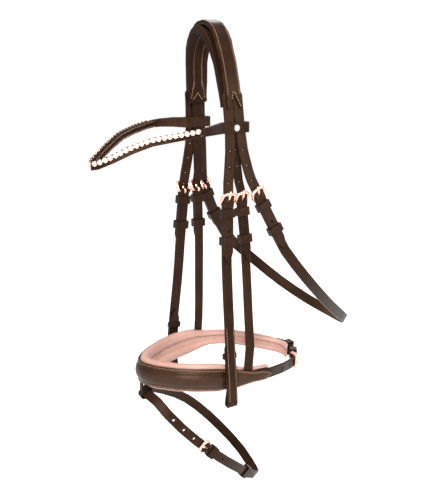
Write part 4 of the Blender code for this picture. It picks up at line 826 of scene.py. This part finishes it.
# one stitch is modelled, then laid along each row where the row meets its leather
seamLook = {"pitch": 0.0028, "length": 0.0020, "thick": 0.00029, "slant": 12.0, "sides": 6, "middleShare": 0.6,
            "tip": 0.55, "dive": 0.8, "lift": 0.00004}
seekLook = {"outside": 0.012, "inside": 0.020, "far": 0.032, "square": 0.35, "step": 0.0005, "widest": 0.030}


def modelStitch():
    look = seamLook
    slope = math.tan(math.radians(look["slant"]))
    dive = -look["thick"] * look["dive"]  # the ends go down into the leather
    bare()
    bpy.ops.mesh.primitive_cylinder_add(vertices=look["sides"], radius=look["thick"],
                                        depth=look["length"] * look["middleShare"],
                                        rotation=(0, math.radians(90), math.radians(look["slant"])))
    made = bpy.context.object
    bpy.ops.object.transform_apply(rotation=True)
    bpy.ops.object.mode_set(mode="EDIT")
    for end in (-1, 1):
        bpy.ops.mesh.select_all(action="DESELECT")
        tip = Vector((end, end * slope, 0.0)).normalized()
        facing(made, tip, 0.95)
        reach = tip * look["length"] * (1 - look["middleShare"]) / 2
        bpy.ops.mesh.extrude_region_move(TRANSFORM_OT_translate={"value": (reach.x, reach.y, dive)})
        middle = Vector((end * look["length"] * 0.5, end * look["length"] * 0.1, dive))
        bpy.ops.transform.resize(value=(look["tip"],) * 3, center_override=middle)
    closeUp()
    bpy.ops.object.shade_smooth()
    return made


stitchModel = modelStitch()
skins = {}


def skinFor(node):
    if node not in skins:
        skins[node] = skinOf(cut[node] if node in cut else pads[node] if node in pads else nodes[node])
    return skins[node]


def touch(node, place, side, out, offset, inner=False):
    # where a straight line from outside, or from inside the head, meets the piece
    way = out if inner else -out
    start = place + side * offset - way * (seekLook["inside"] if inner else seekLook["outside"])
    found = skinFor(node).ray_cast(start, way, seekLook["far"])
    if found[0] is None or abs(found[1].dot(way)) < seekLook["square"]:
        return None
    normal = found[1] if found[1].dot(way) < 0 else -found[1]
    return found[0], normal


def edgeAt(node, place, side, out, sign, inner=False):
    reach, step = 0.0, seekLook["step"]
    while reach < seekLook["widest"] and touch(node, place, side, out, sign * (reach + step), inner):
        reach += step
    return reach


def rowPlaces(node, line, across, middle, offset, start, end, inset=None, inner=False, share=None):
    # at an offset from the strap's middle, or inset from its edge, or at a share of its width
    found = []
    for place, along in alongLine(line, seamLook["pitch"], start, end):
        side, out = strapFrame(place, along, across, middle)
        shift = offset
        if inset is not None or share is not None:
            sign = 1 if offset > 0 else -1
            reach = edgeAt(node, place, side, out, sign, inner)
            if reach < (inset or 0.002):
                continue
            shift = sign * (reach - inset if share is None else reach * share)
        hit = touch(node, place, side, out, shift, inner)
        if hit is not None:
            spot, normal = hit
            found.append(setOn(spot + normal * seamLook["lift"], along, normal))
    return found


def bothRows(node, line, across, middle, spans, offset=1.0, **ways):
    return [place for sign in (1, -1) for start, end in spans
            for place in rowPlaces(node, line, across, middle, sign * offset, start, end, **ways)]


def pathPlaces(node, corners, inner=False):
    # a seam drawn through points given as (height, way across) on the crown, the same on both sides
    found = []
    for (z1, a1), (z2, a2) in zip(corners, corners[1:]):
        count = max(2, round(math.hypot(z2 - z1, a2 - a1) / seamLook["pitch"]))
        for i in range(count):
            t = (i + 0.5) / count
            found.append((z1 + (z2 - z1) * t, a1 + (a2 - a1) * t, back * (a2 - a1) + up * (z2 - z1)))
    places = []
    for z, a, way in found:
        for sign in (1, -1):
            near = min((q for q in crownLine if q.x * sign > 0.005), key=lambda q: abs(q.z - z))
            hit = touch(node, near, back, Vector((sign, 0.0, 0.0)), a, inner)
            if hit is not None:
                spot, normal = hit
                places.append(setOn(spot + normal * seamLook["lift"], way, normal))
    return places


def setCopies(model, places, name, finish, node, hides=()):
    copies = []
    for place in places:
        made = bpy.data.objects.new(name, model.data.copy())
        made.data.transform(place)
        bpy.context.scene.collection.objects.link(made)
        copies.append(made)
    bare()
    for made in copies:
        made.select_set(True)
    bpy.context.view_layer.objects.active = copies[0]
    bpy.ops.object.join()
    made = bpy.context.object
    made.name = name
    coat(made, finish)
    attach(made, bodyOf(node))
    if hides:
        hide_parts(*hides)


# one stone and its claw cup are modelled, then set along the browband in place of the plain chain
stoneLook = {"girdle": 0.00272, "table": 0.00150, "crown": 0.00110, "sides": 10, "turn": 18.0, "bevel": 0.00022,
             "bevelRise": 0.00012, "pavilion": 0.0005, "foot": 0.8, "rim": 0.00288, "cup": 0.0014, "cupSides": 14,
             "wall": 0.00030, "hollow": 0.0006, "claws": 4, "claw": 0.00036, "clawIn": 0.00035, "sunk": 0.0001}
chainLook = {"corners": 6, "radius": 0.0013, "within": 0.0001, "flat": 0.9998}  # a stone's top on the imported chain
stripLook = {"width": 0.0020, "thick": 0.0007, "overlap": 0.0002}


def tablesOf(node):
    # the places and normals of the stones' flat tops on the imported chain
    look = chainLook
    form = bmesh.new()
    form.from_mesh(nodes[node].data)
    bmesh.ops.remove_doubles(form, verts=form.verts, dist=weldGap)
    form.faces.ensure_lookup_table()
    seen, found = set(), []
    for face in form.faces:
        if face.index in seen:
            continue
        group, edge = {face}, [face]
        while edge:
            for other in [f for e in edge.pop().edges for f in e.link_faces]:
                if other not in group and other.normal.dot(face.normal) > look["flat"]:
                    group.add(other)
                    edge.append(other)
        seen |= {f.index for f in group}
        corners = {v for f in group for v in f.verts}
        middle = sum((v.co for v in corners), Vector()) / len(corners)
        if len(corners) == look["corners"] and all(
                abs((v.co - middle).length - look["radius"]) < look["within"] for v in corners):
            found.append((middle, face.normal.copy()))
    form.free()
    return found


def modelStone():
    look = stoneLook
    bare()
    bpy.ops.mesh.primitive_cone_add(vertices=look["sides"], radius1=look["girdle"], radius2=look["table"],
                                    depth=look["crown"], location=(0, 0, -look["crown"] / 2))
    stone = bpy.context.object
    bpy.ops.object.transform_apply(location=True)
    bpy.ops.object.mode_set(mode="EDIT")
    facing(stone, up)
    bpy.ops.transform.rotate(value=math.radians(look["turn"]), orient_axis="Z", center_override=(0, 0, 0))
    bpy.ops.mesh.inset(thickness=look["bevel"], depth=look["bevelRise"])
    facing(stone, -up)
    bpy.ops.mesh.extrude_region_move(TRANSFORM_OT_translate={"value": (0, 0, -look["pavilion"])})
    bpy.ops.transform.resize(value=(look["foot"], look["foot"], 1.0), center_override=(0, 0, 0))
    bpy.ops.mesh.select_all(action="SELECT")
    bpy.ops.mesh.quads_convert_to_tris()
    closeUp()
    return stone


def modelCup():
    look = stoneLook
    top = -look["crown"] + look["sunk"]
    bare()
    bpy.ops.mesh.primitive_cylinder_add(vertices=look["cupSides"], radius=look["rim"], depth=look["cup"],
                                        location=(0, 0, top - look["cup"] / 2))
    cup = bpy.context.object
    bpy.ops.object.transform_apply(location=True)
    bpy.ops.object.mode_set(mode="EDIT")
    facing(cup, up)
    bpy.ops.mesh.inset(thickness=look["wall"])
    bpy.ops.mesh.extrude_region_move(TRANSFORM_OT_translate={"value": (0, 0, -look["hollow"])})
    closeUp()
    parts = [cup]
    reach = look["rim"] - look["clawIn"]
    for i in range(look["claws"]):
        turn = math.radians(45 + 360 / look["claws"] * i)
        place = (math.cos(turn) * reach, math.sin(turn) * reach, top + look["sunk"])
        bare()
        bpy.ops.mesh.primitive_ico_sphere_add(subdivisions=1, radius=look["claw"], location=place)
        parts.append(bpy.context.object)
        bpy.ops.object.transform_apply(location=True)
    bare()
    for part in parts:
        part.select_set(True)
    bpy.context.view_layer.objects.active = cup
    bpy.ops.object.join()
    return cup


def chainOrder(tables):
    left = sorted(tables, key=lambda t: t[0].x)
    order = [left.pop()]
    while left:
        nearest = min(left, key=lambda t: (t[0] - order[-1][0]).length)
        left.remove(nearest)
        order.append(nearest)
    return order


def addStrip(places):
    # the thin strip that the cups are fixed to: a straight slab first, then laid through all their places
    look = stripLook
    low = -stoneLook["crown"] - stoneLook["cup"] + look["overlap"]
    last = len(places) - 1
    bare()
    bpy.ops.mesh.primitive_grid_add(x_subdivisions=last, y_subdivisions=1, size=1.0)
    made = bpy.context.object
    made.name = "browband_strip"
    editAll(made)
    bpy.ops.mesh.extrude_region_move(TRANSFORM_OT_translate={"value": (0, 0, -1)})
    closeUp()
    for vertex in made.data.vertices:
        place = places[round((vertex.co.x + 0.5) * last)]
        vertex.co = place @ Vector((0.0, vertex.co.y * look["width"], low + vertex.co.z * look["thick"]))
    coat(made, "claw")
    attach(made, bodyOf("crystal_chain"))


def addStones():
    order = chainOrder(tablesOf("crystal_chain"))
    print("stones on the browband:", len(order))
    places = []
    for i, (middle, normal) in enumerate(order):
        a, b = order[max(0, i - 1)][0], order[min(len(order) - 1, i + 1)][0]
        places.append(setOn(middle, b - a, normal))
    stone, cup = modelStone(), modelCup()
    # each stone sits turned a little from the next, as set by hand
    turned = [place @ Matrix.Rotation(math.radians((i * 37) % 36), 4, "Z") for i, place in enumerate(places)]
    setCopies(stone, turned, "browband_stones", "crystal", "crystal_chain", ("crystal_chain",))
    setCopies(cup, places, "browband_cups", "claw", "crystal_chain")
    addStrip(places)
    bpy.data.objects.remove(stone)
    bpy.data.objects.remove(cup)


addStones()
print("stones set")

# a dark leather wall stands in every hole of the billets, burnished, and darkened further as painted shade inside the
# hole
holeLook = {"outer": 0.00156, "inner": 0.00085, "depth": 0.0020, "sides": 14, "soften": 0.0002, "smoothAngle": 40.0,
            "step": 0.0002, "shortest": 0.0020, "longest": 0.0042, "rim": 0.0024, "rimPoints": 8, "reach": 0.012}


def modelHoleWall():
    look = holeLook
    bare()
    bpy.ops.mesh.primitive_cylinder_add(vertices=look["sides"], radius=look["outer"], depth=look["depth"],
                                        end_fill_type="NOTHING")
    made = bpy.context.object
    step = made.modifiers.new("wall", "SOLIDIFY")
    step.thickness, step.offset = look["outer"] - look["inner"], -1.0
    step = made.modifiers.new("soften", "BEVEL")
    step.width, step.segments, step.limit_method = look["soften"], 1, "ANGLE"
    applyModifiers(made)
    bpy.ops.object.shade_smooth_by_angle(angle=math.radians(look["smoothAngle"]))
    return made


def through(node, place, out):
    # the strap's outer and inner face at a place
    reach = holeLook["reach"]
    skin = skinFor(node)
    return skin.ray_cast(place + out * reach, -out, 2 * reach)[0], skin.ray_cast(place - out * reach, out, 2 * reach)[0]


def holeMiddle(node, place, along, side, out):
    # the middle of the leather round a hole
    look = holeLook
    rim = []
    for i in range(look["rimPoints"]):
        turn = math.radians(360 / look["rimPoints"] * i)
        way = (along * math.cos(turn) + side * math.sin(turn)) * look["rim"]
        outer, inner = through(node, place + way, out)
        if outer is not None and inner is not None:
            rim.append((outer + inner) / 2 - way)
    return sum(rim, Vector()) / len(rim) if len(rim) > look["rimPoints"] / 2 else None


def holePlaces(node, line, across, middle):
    # along the middle of a strap, a hole is a short stretch where nothing of it is met
    look = holeLook
    found, missed = [], []
    for place, along in alongLine(line, look["step"]):
        side, out = strapFrame(place, along, across, middle)
        if through(node, place, out)[0] is None:
            missed.append((place, along, side, out))
            continue
        if missed and look["shortest"] < look["step"] * len(missed) < look["longest"]:
            place, along, side, out = missed[len(missed) // 2]
            spot = holeMiddle(node, place, along, side, out)
            if spot is not None:
                axes = Matrix((along, side, along.cross(side))).transposed().to_4x4()
                found.append(Matrix.Translation(spot) @ axes)
        missed = []
    return found


def addHoleWalls():
    wall = modelHoleWall()
    billets = {
        "crown_strap": [bridleLines["cheekTop"], mirrored(bridleLines["cheekTop"]),
                        bridleLines["throatNear"], bridleLines["throatFar"]],
        "noseband_headstrap": [bridleLines["hanger"], mirrored(bridleLines["hanger"])],
    }
    places = {node: [] for node in (*billets, "noseband_strap")}
    for node, lines in billets.items():
        for line in map(smoothLine, lines):
            places[node] += holePlaces(node, line, back, Vector((0, line[20].y, line[20].z)))
    places["noseband_strap"] = holePlaces("noseband_strap", noseRing, noseUp, noseMiddle)
    for node, spots in places.items():
        print("holes of", node, len(spots))
        setCopies(wall, spots, node + "_hole_walls", "holeWallShade", node)
    bpy.data.objects.remove(wall)


addHoleWalls()
print("holes walled")

# where the rows of stitches start and end on their straps, and how far they stay from the edges
crownSeams = {"margin": 0.028, "inset": 0.0016,
              "notches": [[(-0.0740, 0.0078), (-0.0570, 0.0010)], [(-0.0740, -0.0050), (-0.0570, -0.0006)]]}
padSeams = {"margin": 0.042, "channel": 0.0052, "neck": [(-0.0500, 0.0052), (-0.0600, 0.0076), (-0.0690, 0.0090)],
            "notch": [(-0.0710, -0.0062), (-0.0625, 0.0), (-0.0710, 0.0062)]}
noseSeams = {"inset": 0.0015}
cheekSeams = {"foot": (0.088, 0.004), "top": (0.086, 0.108), "inset": 0.0014}
browSeams = {"ends": (0.026, 0.056), "inset": 0.0012, "lining": 0.0026}


def sew(name, places, node, thread="tanThread"):
    print(name, len(places), "stitches")
    setCopies(stitchModel, places, name, thread, node)


def sewCrown():
    look = crownSeams
    span = (look["margin"], lengthOf(crownLine) - look["margin"])
    places = bothRows("crown_facing", crownLine, back, crownMiddle, [span], inset=look["inset"])
    for notch in look["notches"]:
        places += pathPlaces("crown_facing", notch)
    sew("crown_facing_seam", places, "crown_facing")


def sewPad():
    look = padSeams
    start, end = look["margin"], lengthOf(crownLine) - look["margin"]
    places = []
    for sign in (1, -1):
        places += rowPlaces("crown_pad", crownLine, back, crownMiddle, sign * look["channel"], start, end, inner=True)
        places += pathPlaces("crown_pad", [(z, sign * a) for z, a in look["neck"]], True)
    places += pathPlaces("crown_pad", look["notch"], True)
    sew("crown_padding_seam", places, "crown_pad")


def sewNose():
    spans = [(0.0, lengthOf(noseRing))]
    places = bothRows("noseband_front", noseRing, noseUp, noseMiddle, spans, inset=noseSeams["inset"])
    sew("noseband_front_seam", places, "noseband_front")
    inside = bothRows("noseband_lining", noseRing, noseUp, noseMiddle, spans, inner=True, share=liningForm["seam"])
    sew("noseband_padding_seam", inside, "noseband_lining", "roseThread")


def sewCheeks():
    look = cheekSeams
    for name, line in cheekLine.items():
        whole = lengthOf(line)
        spans = [(whole - look["foot"][0], whole - look["foot"][1]), look["top"]]
        places = bothRows("cheekpiece_" + name, line, back, cheekMiddle, spans, inset=look["inset"])
        sew("cheekpiece_" + name + "_seam", places, "cheekpiece_" + name)


def sewBrow():
    look = browSeams
    whole = lengthOf(browLine)
    start, end = look["ends"]
    spans = [(start, end), (whole - end, whole - start)]
    places = bothRows("browband_strap", browLine, up, browMiddle, spans, inset=look["inset"])
    sew("browband_seam", places, "browband_strap")
    inside = bothRows("browband_lining", browLine, up, browMiddle, [(0.0, whole)], offset=look["lining"], inner=True)
    sew("browband_lining_seam", inside, "browband_lining")


sewCrown()
sewPad()
sewNose()
sewCheeks()
sewBrow()
bpy.data.objects.remove(stitchModel)
print("seams sewn")
